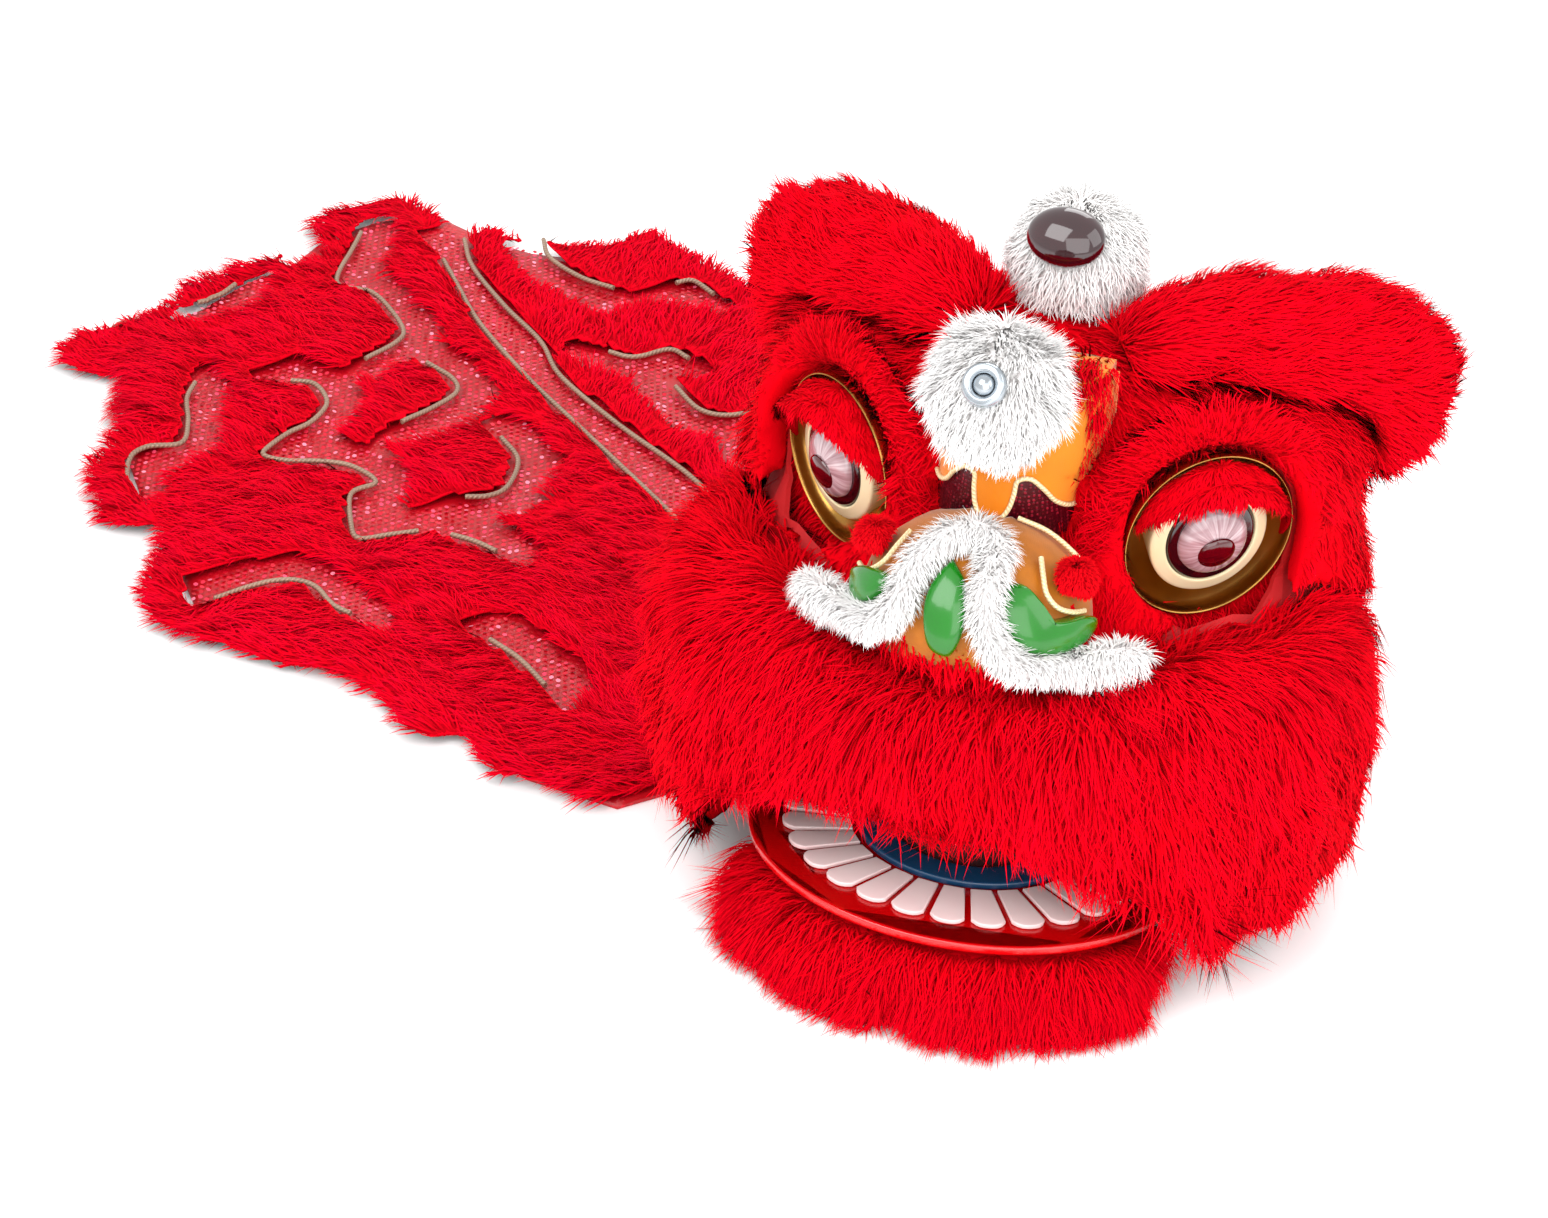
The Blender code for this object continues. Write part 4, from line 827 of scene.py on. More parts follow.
def make_beard():
    skin = pelt("beard_pile", ["beard_fur"], 6, 9, beard_comb, beard_reach)
    grow_fur(skin, RED_FUR, 61, 12000, BEARD_PILE)
    return settle(skin, "jaw", ["beard_fur"], "red_fur")


# Eyes

EYE_YAW = math.radians(39)


def eye_frame(side):
    """The eye's own frame: its Z looks out of the dish and its Y is up."""
    out = Vector((side * math.sin(EYE_YAW), -math.cos(EYE_YAW), 0))
    up = Vector((0, 0, 1))
    turn = Matrix((up.cross(out), up, out)).transposed()
    return Matrix.Translation(at(*eye_centre(side))) @ turn.to_4x4()


def turned(name, profile, place, finish, segments=72, sharp=35):
    """A shape turned about Z from (radius, height) points in millimetres; ends on the axis are closed
    there, and a profile that stays off it is joined round. Points carry spoke, their way from the axis."""
    shape = bmesh.new()
    rings = []
    for radius, height in profile:
        if radius < 1e-6:
            rings.append([shape.verts.new((0, 0, height * MM))])
            continue
        rings.append([
            shape.verts.new((
                radius * MM * math.cos(2 * math.pi * i / segments),
                radius * MM * math.sin(2 * math.pi * i / segments),
                height * MM,
            ))
            for i in range(segments)
        ])
    pairs = list(zip(rings, rings[1:]))
    if len(rings[0]) > 1:
        pairs.append((rings[-1], rings[0]))
    for first, second in pairs:
        for i in range(segments):
            j = (i + 1) % segments
            a = [first[0]] if len(first) == 1 else [first[i], first[j]]
            b = [second[0]] if len(second) == 1 else [second[j], second[i]]
            if len(a) + len(b) > 2:
                shape.faces.new(a + b)
    bmesh.ops.recalc_face_normals(shape, faces=shape.faces)
    mesh = mesh_from(name, shape, sharp=sharp)
    widest = max(radius for radius, _ in profile) * MM
    spoke = mesh.attributes.new("spoke", "FLOAT_VECTOR", "POINT")
    for i, vert in enumerate(mesh.vertices):
        run = math.hypot(vert.co.x, vert.co.y)
        unit = Vector((vert.co.x, vert.co.y, 0)) / run if run > 1e-9 else Vector((0, 0, 0))
        spoke.data[i].vector = unit + Vector((0, 0, 0.12 * run / widest))
    mesh.transform(place)
    return object_of(name, mesh, finish)


def rounded(points, radius, steps=4):
    """A profile with its inner corners rounded off."""
    made = [points[0]]
    for before, corner, after in zip(points, points[1:], points[2:]):
        a, b, c = Vector(before), Vector(corner), Vector(after)
        first = b + (a - b).normalized() * min(radius, (a - b).length / 2)
        last = b + (c - b).normalized() * min(radius, (c - b).length / 2)
        for i in range(steps + 1):
            t = i / steps
            made.append(tuple(first.lerp(b, t).lerp(b.lerp(last, t), t)))
    made.append(points[-1])
    return made


def dome_profile(radius, rise, base, steps=12):
    """From the top of a dome to its rim, then in to the axis at its base."""
    made = [(0, base + rise)]
    for i in range(1, steps + 1):
        angle = math.pi / 2 * i / steps
        made.append((radius * math.sin(angle), base + rise * math.cos(angle)))
    made.append((0, base))
    return made


# Profiles of the eye's parts: radius, then height over the dish's middle
BOWL_PROFILE = (
    (0, -22), (34, -21.8), (45, -14), (52.4, -5), (53.2, 2), (54.9, 2), (54.9, -5), (46.5, -15),
    (36, -24), (0, -24),
)
CUP_PROFILE = ((28.8, -21.5), (28.8, 3.4), (30.0, 4.2), (36.8, 1.8), (38, 0.6), (37.6, -3), (33, -21.5))
BLACK_PROFILE = ((0, 5.4), (26.6, 5.4), (28.4, 3.8), (28.4, -21.5), (0, -21.5))
PUPIL_PLACE = (0, -6, 11.2)
PUPIL_TILT = math.radians(18)
SURROUND_RADIUS = 69
SURROUND_DEPTH = -9
SURROUND_HALF_WIDTH = 12
SURROUND_HALF_HEIGHT = 9
LID_TILT = math.radians(12)
LID_RADIUS = 49.6
LID_WALL = 2.2
LID_SPAN = math.radians(36)
LID_HALF_TURN = math.radians(87)
LID_FOLD = 1.5
LID_LOWEST_PLUSH = 268


def make_eye(side, label):
    place = eye_frame(side)
    pupil_place = place @ Matrix.Translation(Vector(PUPIL_PLACE) * MM) @ Matrix.Rotation(PUPIL_TILT, 4, "X")
    for name, profile, where, finish, segments, node, slot in (
        ("bowl", rounded(BOWL_PROFILE, 3), place, DISH_GOLD, 72, "dish", "dish_gold"),
        ("cup", rounded(CUP_PROFILE, 1.2), place, COLLAR_CREAM, 72, "collar", "collar_cream"),
        ("black", rounded(BLACK_PROFILE, 1.4), place, EYE_BLACK, 72, "ring", "eye_black"),
        ("film", dome_profile(22.5, 9.0, 5.5), place, EYE_FILM, 72, "ball", "eye_grey"),
        ("pupil_gloss", dome_profile(12.6, 5.0, 0.0), pupil_place, PUPIL_GLOSS, 64, "pupil", "pupil_maroon"),
    ):
        piece = turned(f"eye_{name}_{label}", profile, where, finish, segments)
        settle(piece, "head", [f"eye_{node}_{label}"], slot)
    ring = [
        (
            SURROUND_RADIUS + SURROUND_HALF_WIDTH * math.cos(math.radians(a)),
            SURROUND_DEPTH + SURROUND_HALF_HEIGHT * math.sin(math.radians(a)),
        )
        for a in range(0, 360, 30)
    ]
    surround = turned(f"eye_surround_{label}_pile", ring, place, RED_FUR, 60)

    def comb(point, normal):
        return (point - eye_centre(side)).normalized() + Vector((0, 0, -0.5))

    add_fur_fields(surround.data, comb, full)
    grow_fur(surround, RED_FUR, 81 + side, 5000, EYE_PILE)
    settle(surround, "head", (), "red_fur")
    make_lid(side, label, place)


def lid_point(radius, angle, rise, lean):
    """A point of the lid in the eye's frame: rise is its share of the way over the dish."""
    wave = math.sin(rise * 3.2 * math.pi + 0.6 * math.sin(angle * 2))
    out = (radius + LID_FOLD * wave * math.cos(angle)) * math.cos(angle)
    return Vector((radius * math.sin(angle), out * math.cos(lean), out * math.sin(lean))) * MM


def make_lid(side, label, place):
    """A satin-covered card lid over the top of the dish, with a few soft folds pulled to its pins."""
    spread, steps = 40, 14
    shape = bmesh.new()
    outer, inner = (
        [
            [
                shape.verts.new(lid_point(
                    radius, (2 * i / spread - 1) * LID_HALF_TURN, step / steps, LID_SPAN * step / steps
                ))
                for i in range(spread + 1)
            ]
            for step in range(steps + 1)
        ]
        for radius in (LID_RADIUS, LID_RADIUS - LID_WALL)
    )
    for grid in (outer, inner):
        for low, high in zip(grid, grid[1:]):
            join_rows(shape, low, high, closed=False)
    for row in (0, steps):
        join_rows(shape, outer[row], inner[row], closed=False)
    for column in (0, spread):
        join_rows(shape, [row[column] for row in outer], [row[column] for row in inner], closed=False)
    bmesh.ops.recalc_face_normals(shape, faces=shape.faces)
    mesh = mesh_from(f"eyelid_{label}", shape)
    mesh.transform(place @ Matrix.Rotation(-side * LID_TILT, 4, "Z"))
    lid = object_of(f"eyelid_{label}", mesh, LID_SATIN)

    def reach(point, normal):
        outside = normal.dot(point - eye_centre(side)) > 0 and point.z > LID_LOWEST_PLUSH
        return 1.0 if outside else 0.0

    plush = object_of(f"eyelid_{label}_pile", mesh.copy(), RED_FUR)
    add_fur_fields(plush.data, still, reach)
    grow_fur(plush, RED_FUR, 91 + side, 3000, LID_PILE)
    settle(plush, f"eyelid_{label}", (), "red_fur")
    settle(lid, f"eyelid_{label}", [f"eye_lid_{label}"], "lid_cloth")


# Jaw

JAW_HALF_WIDTH = 138
JAW_HALF_DEPTH = 105
JAW_CENTRE_Y = -40
JAW_TOP = 51.4
TOOTH_COUNT = 14
TOOTH_PITCH = math.radians(13)


def jaw_point(turn, share, height):
    """A place on the jaw: turn runs round from its front, and share is the part of its half size."""
    return at(
        JAW_HALF_WIDTH * share * math.sin(turn),
        JAW_CENTRE_Y - JAW_HALF_DEPTH * share * math.cos(turn),
        height,
    )


def slab(name, outline, low, high, finish, bevel, segments=3):
    """A flat piece with rounded edges from an outline of (turn, share) places on the jaw."""
    shape = bmesh.new()
    rings = [[shape.verts.new(jaw_point(turn, share, z)) for turn, share in outline] for z in (low, high)]
    join_rows(shape, *rings)
    for ring in rings:
        shape.faces.new(ring)
    bmesh.ops.recalc_face_normals(shape, faces=shape.faces)
    edges = [e for e in shape.edges if abs(e.verts[0].co.z - e.verts[1].co.z) < 1e-6]
    bmesh.ops.bevel(shape, geom=edges, offset=bevel * MM, segments=segments, affect="EDGES", profile=0.6)
    return object_of(name, mesh_from(name, shape), finish)


def arc_places(share, widest, count):
    """Places in an arc round the jaw, from one side to the other."""
    return [(widest * (2 * i / count - 1), share) for i in range(count + 1)]


TEETH_HALF_TURN = TOOTH_COUNT * TOOTH_PITCH / 2
TOOTH_ROOT, TOOTH_TIP, TOOTH_BULGE = 0.53, 0.80, 0.045
TOOTH_FILL = 0.42
TOOTH_THICKNESS = 3
TOOTH_EDGE = 0.9


def make_tooth(index):
    """A flared tooth: narrower at the gum, its outer end softly rounded and raised a little."""
    middle = -TEETH_HALF_TURN + (index + 0.5) * TOOTH_PITCH
    half = TOOTH_PITCH * TOOTH_FILL
    outline = [(middle - half * 0.94, TOOTH_ROOT)]
    for i in range(9):
        x = i / 4 - 1
        outline.append((middle + half * x, TOOTH_TIP + TOOTH_BULGE * (1 - abs(x) ** 3)))
    outline.append((middle + half * 0.94, TOOTH_ROOT))
    name = f"tooth_{index + 1:02d}"
    return slab(name, outline, JAW_TOP, JAW_TOP + TOOTH_THICKNESS, TOOTH_WHITE, TOOTH_EDGE)


def make_jaw():
    """The gloss plate with its teeth, the gum's arc behind them and the mouth's lining."""
    back = math.acos((JAW_CENTRE_Y - 5) / JAW_HALF_DEPTH)
    board = slab("jaw_plate", arc_places(1, back, 120), JAW_TOP - 6.4, JAW_TOP - 0.4, JAW_GLOSS, 2.0, 4)
    settle(board, "jaw", (), "jaw_gloss")
    for i in range(TOOTH_COUNT):
        settle(make_tooth(i), "jaw", ["teeth"] if i == 0 else (), "tooth_white")
    ridge = arc_places(0.50, TEETH_HALF_TURN, 60) + arc_places(0.34, TEETH_HALF_TURN, 60)[::-1]
    gum = slab("gum_ridge", ridge, JAW_TOP, JAW_TOP + 5, GUM_BLUE, 1.8, 4)
    settle(gum, "jaw", ["gum_bowl"], "gum_blue")
    floor = arc_places(0.33, TEETH_HALF_TURN, 60)
    lining = slab("mouth_lining", floor, JAW_TOP, JAW_TOP + 2, MOUTH_RED, 0.6)
    settle(lining, "jaw", ["mouth_floor"], "mouth_red")


# Nose and bridge

NOSE_CENTRE = Vector((0, -55, 235))
NOSE_HALF = Vector((72, 62, 52))


def on_nose(place, out):
    """The place in the head's frame moved along its line from the nose's middle to stand out of it."""
    away = place - NOSE_CENTRE
    share = math.sqrt(sum((a / h) ** 2 for a, h in zip(away, NOSE_HALF)))
    surface = NOSE_CENTRE + away / share
    return surface + (surface - NOSE_CENTRE).normalized() * out


def tube(name, path, radius, finish, sides=10, taper=None, turns=0.0):
    """A round cord through points in millimetres in the head's frame, its ends closed with flat faces;
    strand counts its slanting strands for the material."""
    shape = bmesh.new()
    layer = shape.verts.layers.float.new("strand")
    rings = []
    across = Vector((0, 0, 1))
    run = 0.0
    for i, point in enumerate(path):
        ahead = (path[min(i + 1, len(path) - 1)] - path[max(i - 1, 0)]).normalized()
        across = (across - ahead * across.dot(ahead)).normalized()
        over = ahead.cross(across)
        run += (point - path[i - 1]).length if i else 0
        size = radius * (taper(i / (len(path) - 1)) if taper else 1)
        ring = []
        for k in range(sides):
            angle = 2 * math.pi * k / sides
            away = across * math.cos(angle) + over * math.sin(angle)
            vert = shape.verts.new(at(*(point + away * size)))
            vert[layer] = run * turns + 2 * k / sides
            ring.append(vert)
        rings.append(ring)
    for low, high in zip(rings, rings[1:]):
        join_rows(shape, low, high)
    shape.faces.new(rings[0])
    shape.faces.new(rings[-1])
    bmesh.ops.recalc_face_normals(shape, faces=shape.faces)
    return object_of(name, mesh_from(name, shape, sharp=60), finish)


def smooth_path(points, spacing):
    """Points at an even spacing on a smooth curve through the given ones."""
    ends = [points[0] * 2 - points[1]] + list(points) + [points[-1] * 2 - points[-2]]
    fine = []
    for a, b, c, d in zip(ends, ends[1:], ends[2:], ends[3:]):
        count = max(2, int((c - b).length / spacing) + 1)
        square, cube = 2 * a - 5 * b + 4 * c - d, 3 * b - a - 3 * c + d
        for i in range(count):
            t = i / count
            fine.append(0.5 * ((2 * b) + (c - a) * t + square * t * t + cube * t ** 3))
    fine.append(points[-1])
    return fine


# Share of the outline's width, and height as a share of the cushion's rise, or millimetres below it
CUSHION_LEVELS = (
    (1.0, -6.0), (1.0, 0.0), (0.985, 0.30), (0.94, 0.58), (0.86, 0.80), (0.72, 0.93), (0.5, 1.0),
    (0.25, 1.02),
)
CUSHION_LIFT = 0.6


def cushion(name, outline, rise, finish, node, slot):
    """A padded patch on the nose: its outline drawn in to a crown, with a rolled edge."""
    points = smooth_path([Vector(p) for p in outline] + [Vector(outline[0])], 3)[:-1]
    middle = sum(points, Vector()) / len(points)
    shape = bmesh.new()
    rings = []
    for share, height in CUSHION_LEVELS:
        stand = height if height < 0 else height * rise + CUSHION_LIFT
        rings.append([shape.verts.new(at(*on_nose(middle.lerp(p, share), stand))) for p in points])
    for low, high in zip(rings, rings[1:]):
        join_rows(shape, low, high)
    top = shape.verts.new(at(*on_nose(middle, rise * CUSHION_LEVELS[-1][1] + CUSHION_LIFT)))
    for i in range(len(points)):
        shape.faces.new((rings[-1][i], rings[-1][(i + 1) % len(points)], top))
    shape.faces.new(rings[0])
    bmesh.ops.recalc_face_normals(shape, faces=shape.faces)
    piece = object_of(name, mesh_from(name, shape, sharp=180), finish)
    return settle(piece, "head", [node], slot)


PAD_CENTRE = (
    (-7, -88, 283), (4, -100, 277), (9, -111, 265), (9, -119, 250), (3, -123, 236), (-9, -121, 238),
    (-15, -117, 252), (-17, -108, 267), (-13, -97, 278),
)
PAD_LEFT = (
    (28, -95, 278), (38, -90, 277), (46, -97, 265), (60, -92, 257), (76, -72, 252), (82, -62, 244),
    (76, -75, 236), (60, -97, 236), (44, -108, 242), (32, -110, 256), (26, -104, 268),
)
PAD_RIGHT = (
    (-76, -70, 250), (-64, -80, 260), (-50, -92, 266), (-44, -99, 262), (-54, -100, 248), (-68, -86, 240),
)
POMPOM_ARC = ((42, -66, 283), (45, -76, 276), (50, -84, 269), (58, -85, 262), (67, -79, 257), (74, -70, 254))
BROW_ARC = ((18, -36, 288), (40, -34, 284), (60, -38, 272), (70, -42, 258))
NOSE_FUR_TOP = 234


def subdivided(piece, levels, kind="CATMULL_CLARK"):
    """Divides the piece's faces and bakes it to plain mesh."""
    step = piece.modifiers.new("fine", "SUBSURF")
    step.subdivision_type = kind
    step.levels = levels
    step.render_levels = levels
    return baked(piece)


def make_red_patch(name, node, reach, comb, inset, smooth, seed, blades, pile):
    """Fur of its own on the part of a hard CAD form that a reach function picks."""
    skin = pelt(name, [node], 5, inset, comb, reach, smooth)
    grow_fur(skin, RED_FUR, seed, blades, pile)
    settle(skin, "head", (), "red_fur")


def make_nose():
    """The gold form with fur below, three padded patches and the cords round the pompoms."""
    form = subdivided(placed("nose_form", cad_copy(["nose_base"])), 1)
    dress(form.data, GOLD_SATIN)
    form.data.shade_smooth()
    settle(form, "head", ["nose_base"], "orange_applique")

    def low(place, normal):
        return 1.0 if place.z < NOSE_FUR_TOP else 0.0

    make_red_patch("nose_lower_pile", "nose_base", low, still, 2, 2, 67, 5000, NOSE_PILE)
    pads = (("centre", PAD_CENTRE, 5.0), ("left", PAD_LEFT, 6.5), ("right", PAD_RIGHT, 6.0))
    for label, outline, rise in pads:
        cushion(f"nose_patch_{label}", outline, rise, GREEN_PATENT, f"nose_pad_{label}", "patent_green")
    for side, label in SIDES:
        loop = [on_nose(Vector((side * x, y, z)), 2.0) for x, y, z in POMPOM_ARC]
        cord = tube(f"nose_piping_{label}", smooth_path(loop, 2), 1.6, CREAM_PIPING, turns=0.4)
        settle(cord, "head", (), "orange_applique")
    brow = smooth_path([on_nose(Vector(p), 1.5) for p in BROW_ARC], 2)
    settle(tube("nose_brow_piping", brow, 1.5, CREAM_PIPING, turns=0.4), "head", (), "orange_applique")


BRIDGE = {"width": 100, "low": 264, "high": 356, "centre_y": 40, "front_low": -40, "front_high": -14}


def bridge_front(x, z, out=0.0):
    """The y of the padding's rounded front at a width and height, or of a surface that stands out of it."""
    share = (z - BRIDGE["low"]) / (BRIDGE["high"] - BRIDGE["low"])
    front = BRIDGE["front_low"] + (BRIDGE["front_high"] - BRIDGE["front_low"]) * share - out
    half = BRIDGE["width"] / 2 + out
    return BRIDGE["centre_y"] - (BRIDGE["centre_y"] - front) * math.sqrt(max(0, 1 - (x / half) ** 2))


def on_bridge(u, z, out):
    """A place on the bridge's padding: u runs across the front, and past its ends back along the sides."""
    half = BRIDGE["width"] / 2
    if abs(u) <= half:
        x = u * (half + out) / half
        return Vector((x, bridge_front(x, z, out), z))
    side = 1 if u > 0 else -1
    return Vector((side * (half + out), BRIDGE["centre_y"] + (abs(u) - half), z))


LOBE_EDGE = (
    (-52, 298), (-49, 294), (-43, 288), (-37, 286), (-31, 290), (-26, 298), (-19, 305), (-12.5, 304),
    (-11.5, 296), (-9.5, 287), (-5, 280), (0, 275), (5, 280), (9.5, 287), (11.5, 296), (12.5, 304),
    (19, 305), (26, 298), (33, 288), (41, 282), (48, 287), (51, 292),
)
APPLIQUE_TOP = 348
APPLIQUE_ROWS = 6
APPLIQUE_BACK, APPLIQUE_FACE, APPLIQUE_HEM = 0.7, 2.2, 1.4
SADDLE_ORANGE_Z = 312
BRIDGE_FUR_TOP = 350
BRIDGE_FUR_LOW = 282


def make_bridge():
    """The maroon padding, its orange patch with a lobed lower edge, and the fur at its sides."""
    padding = cad_copy(["bridge_saddle"])
    padding.shade_smooth()
    padding.set_sharp_from_angle(angle=math.radians(40))
    saddle = object_of("bridge_padding", padding, MAROON_SEQUINS)
    padding.materials.append(ORANGE_SATIN)
    for face in padding.polygons:
        if face.center.z > SADDLE_ORANGE_Z * MM:
            face.material_index = 1
    settle(saddle, "head", ["bridge_saddle"], "maroon_sequins")

    def flank(place, normal):
        side = abs(place.x) > 40 and place.y > -4 and place.z > BRIDGE_FUR_LOW
        return 1.0 if side or place.z > BRIDGE_FUR_TOP else 0.0

    def back(place, normal):
        return Vector((0, -0.4, -1))

    make_red_patch("bridge_side_pile", "bridge_saddle", flank, back, 1.5, 1, 69, 6000, BRIDGE_PILE)
    edge = smooth_path([Vector((x, 0, z)) for x, z in LOBE_EDGE], 1.2)
    shape = bmesh.new()
    columns = []
    for point in edge:
        column = []
        for i in range(APPLIQUE_ROWS + 1):
            z = point.z + (APPLIQUE_TOP - point.z) * i / APPLIQUE_ROWS
            stands = (APPLIQUE_BACK, APPLIQUE_FACE if i else APPLIQUE_HEM)
            column.append([shape.verts.new(at(*on_bridge(point.x, z, stand))) for stand in stands])
        columns.append(column)
    for first, second in zip(columns, columns[1:]):
        for k in (0, 1):
            join_rows(shape, [pair[k] for pair in first], [pair[k] for pair in second], closed=False)
        for i in (0, APPLIQUE_ROWS):
            join_rows(shape, first[i], second[i], closed=False)
    for column in (columns[0], columns[-1]):
        join_rows(shape, *zip(*column), closed=False)
    bmesh.ops.recalc_face_normals(shape, faces=shape.faces)
    patch = object_of("bridge_patch", mesh_from("bridge_patch", shape), ORANGE_SATIN)
    settle(patch, "head", ["bridge_applique"], "orange_applique")
    cord_path = [on_bridge(p.x, p.z, 2.4) for p in edge]
    cord = tube("bridge_piping", cord_path, 1.5, CREAM_PIPING, turns=0.4)
    settle(cord, "head", (), "orange_applique")


# Buttons on the forehead and the horn

FOREHEAD_RIM = ((6.6, 33), (6.6, 36.6), (8.4, 38.4), (11.6, 38), (13, 35.6), (13, 31))
FOREHEAD_PLACE, FOREHEAD_PITCH = (0, -40, 368), 35
STONE_WIDTH, STONE_HEIGHT, STONE_RISE, STONE_STAND = 24, 18.5, 12.4, 47
HORN_PLACE, HORN_PITCH = (0, 134, 366), 41


def pitched(x, y, z, degrees):
    """A frame at a place whose Z looks forwards and is pitched up by an angle."""
    return Matrix.Translation(at(x, y, z)) @ Matrix.Rotation(math.pi / 2 - math.radians(degrees), 4, "X")


def make_buttons():
    place = pitched(*FOREHEAD_PLACE, FOREHEAD_PITCH)
    ring = turned("forehead_ring", rounded(FOREHEAD_RIM, 0.8), place, SILVER, 72)
    settle(ring, "head", (), "clear_button")
    stone = turned("forehead_button", dome_profile(6.4, 5.0, 34.5), place, SILVER, 64)
    settle(stone, "head", ["mirror_button"], "clear_button")
    place = pitched(*HORN_PLACE, HORN_PITCH)
    dome = dome_profile(STONE_WIDTH, STONE_RISE, 0)
    oval = turned("horn_stone", dome, Matrix.Identity(4), HORN_GLOSS, 96)
    squash = Matrix.Diagonal((1, STONE_HEIGHT / STONE_WIDTH, 1, 1))
    oval.data.transform(place @ Matrix.Translation((0, 0, STONE_STAND * MM)) @ squash)
    settle(oval, "head", ["horn_button"], "horn_gloss")


# Body cloth

SPINE_EDGES = (
    ((590, -29), (545, -36), (487, -44), (400, -45), (330, -41), (250, -36), (150, -30)),
    ((613, -1), (570, -13), (504, -16), (443, -14), (389, -22), (307, -13), (224, 2), (150, 6)),
)
LEFT_EDGES = (
    ((658, -70), (592, -118), (568, -100), (536, -97), (502, -101), (486, -115), (471, -145)),
    ((451, -104), (424, -96), (403, -101), (387, -127), (375, -157)),
    ((330, -98), (297, -100), (266, -122), (258, -140), (262, -157)),
    (
        (467, -206), (453, -193), (425, -195), (407, -215), (400, -237), (383, -262), (368, -252),
        (352, -226), (336, -211), (310, -205), (305, -226), (270, -241), (249, -244), (244, -222),
        (239, -203),
    ),
    ((495, -271), (475, -285), (441, -297), (418, -311), (426, -334), (417, -351), (386, -364)),
    ((223, -361), (224, -332), (219, -307), (204, -295), (178, -293), (163, -286)),
    ((223, -185), (207, -174), (189, -166)),
    ((96, -213), (66, -205), (32, -202)),
    ((618, -191), (610, -207), (610, -225)),
    ((589, -309), (604, -291), (604, -276)),
)
RIGHT_EDGES = (
    ((588, 56), (559, 48), (520, 56), (492, 71)),
    ((407, 26), (393, 39), (390, 68), (371, 75)),
    ((341, 49), (305, 50), (286, 65), (279, 95)),
    ((242, 69), (220, 63)),
    ((474, 116), (473, 130), (448, 135)),
    ((179, 25), (184, 44), (165, 53)),
)
FUR_OUTLINE = (
    (578, -346), (551, -348), (531, -316), (458, -344), (416, -382), (342, -396), (319, -364),
    (255, -403), (209, -406), (149, -364), (105, -326), (73, -300), (16, -306), (3, -270), (-43, -277),
    (-94, -209), (-158, -149), (-120, 60), (120, 200), (230, 200), (330, 186), (400, 178), (451, 169),
    (506, 154), (566, 140), (563, 94), (586, 53), (627, 24), (614, -8), (657, -2), (706, -15),
    (701, -95), (643, -106), (622, -144), (656, -134), (645, -205), (616, -252), (604, -297), (599, -338),
)
FURRED_ALL_OVER = 200
SEQUIN_REACH = 30
SPINE_RUN = (120, 640)
FIELD_CELL = 6.0
FIELD_LOW = (-96, -420)
FIELD_HIGH = (716, 200)


def to_segment(point, a, b):
    """The nearest point of a segment and the segment's way."""
    d = b - a
    t = max(0.0, min(1.0, (point - a).dot(d) / d.length_squared))
    return a + d * t, d


class Edges:
    """The piped edges of the fur, each with the side that its sequin cloth shows on."""

    def __init__(self):
        self.parts = []
        for lines, sign in ((LEFT_EDGES, 1), (RIGHT_EDGES, -1)):
            for line in lines:
                points = [Vector(p) for p in line]
                self.parts += [(a, b, sign) for a, b in zip(points, points[1:])]

    def nearest(self, point):
        """Distance to the nearest edge and the way from it over the sequins, which is
        positive in front of the edge and negative behind, over the fur."""
        best = (1e9, None, 0)
        for a, b, sign in self.parts:
            near, d = to_segment(point, a, b)
            away = point - near
            if away.length < best[0] - 1e-9:
                face = Vector((d.y, -d.x)).normalized() * sign
                best = (away.length, face, 1 if away.dot(face) > 0 else -1)
        return best


EDGES = Edges()


def spine_strip(along, across):
    """Whether a place lies between the two cords of the spine."""
    left, right = (
        np.interp(along, [p[0] for p in reversed(edge)], [p[1] for p in reversed(edge)])
        for edge in SPINE_EDGES
    )
    return left < across < right and SPINE_RUN[0] < along < SPINE_RUN[1]


def is_bare(along, across):
    """Whether the sequin cloth shows there."""
    if spine_strip(along, across):
        return True
    distance, face, side = EDGES.nearest(Vector((along, across)))
    return side > 0 and distance < SEQUIN_REACH


def cloth_surface():
    """The CAD cloth's own faces, to stand things on."""
    shape = bmesh.new()
    shape.from_mesh(cad_copy(["body_cloth"]))
    tree = BVHTree.FromBMesh(shape)
    shape.free()
    return tree


CLOTH = cloth_surface()
CLOTH_UNDERSIDE = 1.2
# Noise cells in a metre, and the height of their ripple in millimetres
CLOTH_RIPPLES = ((55, 0.9), (18, 0.8))


def cloth_top(along, across):
    """The height of the cloth's upper face there in millimetres, or None off the cloth."""
    point = on_cloth(along, across)
    hit = CLOTH.ray_cast(Vector((point.x, point.y, 0.1)), Vector((0, 0, -1)))
    return hit[0].z / MM if hit[0] is not None else None


def make_cloth():
    """The sequin mesh cloth itself: the CAD sheet with its facets smoothed and a fine ripple."""
    sheet = subdivided(placed("sequin_cloth", cad_copy(["body_cloth"])), 2, "SIMPLE")
    mesh = sheet.data
    area = sum(p.area for p in mesh.polygons if p.normal.z > 0.5)
    for vert in mesh.vertices:
        if vert.co.z > CLOTH_UNDERSIDE * MM:
            lift = sum(noise.noise(vert.co * rate) * height * MM for rate, height in CLOTH_RIPPLES)
            vert.co.z = max(0.0, vert.co.z + lift)
    mesh.shade_smooth()
    mesh.set_sharp_from_angle(angle=math.radians(50))
    dress(mesh, BODY_SEQUINS)
    settle(sheet, "head", ["body_cloth"], "sequin_cloth")
    return sheet, area


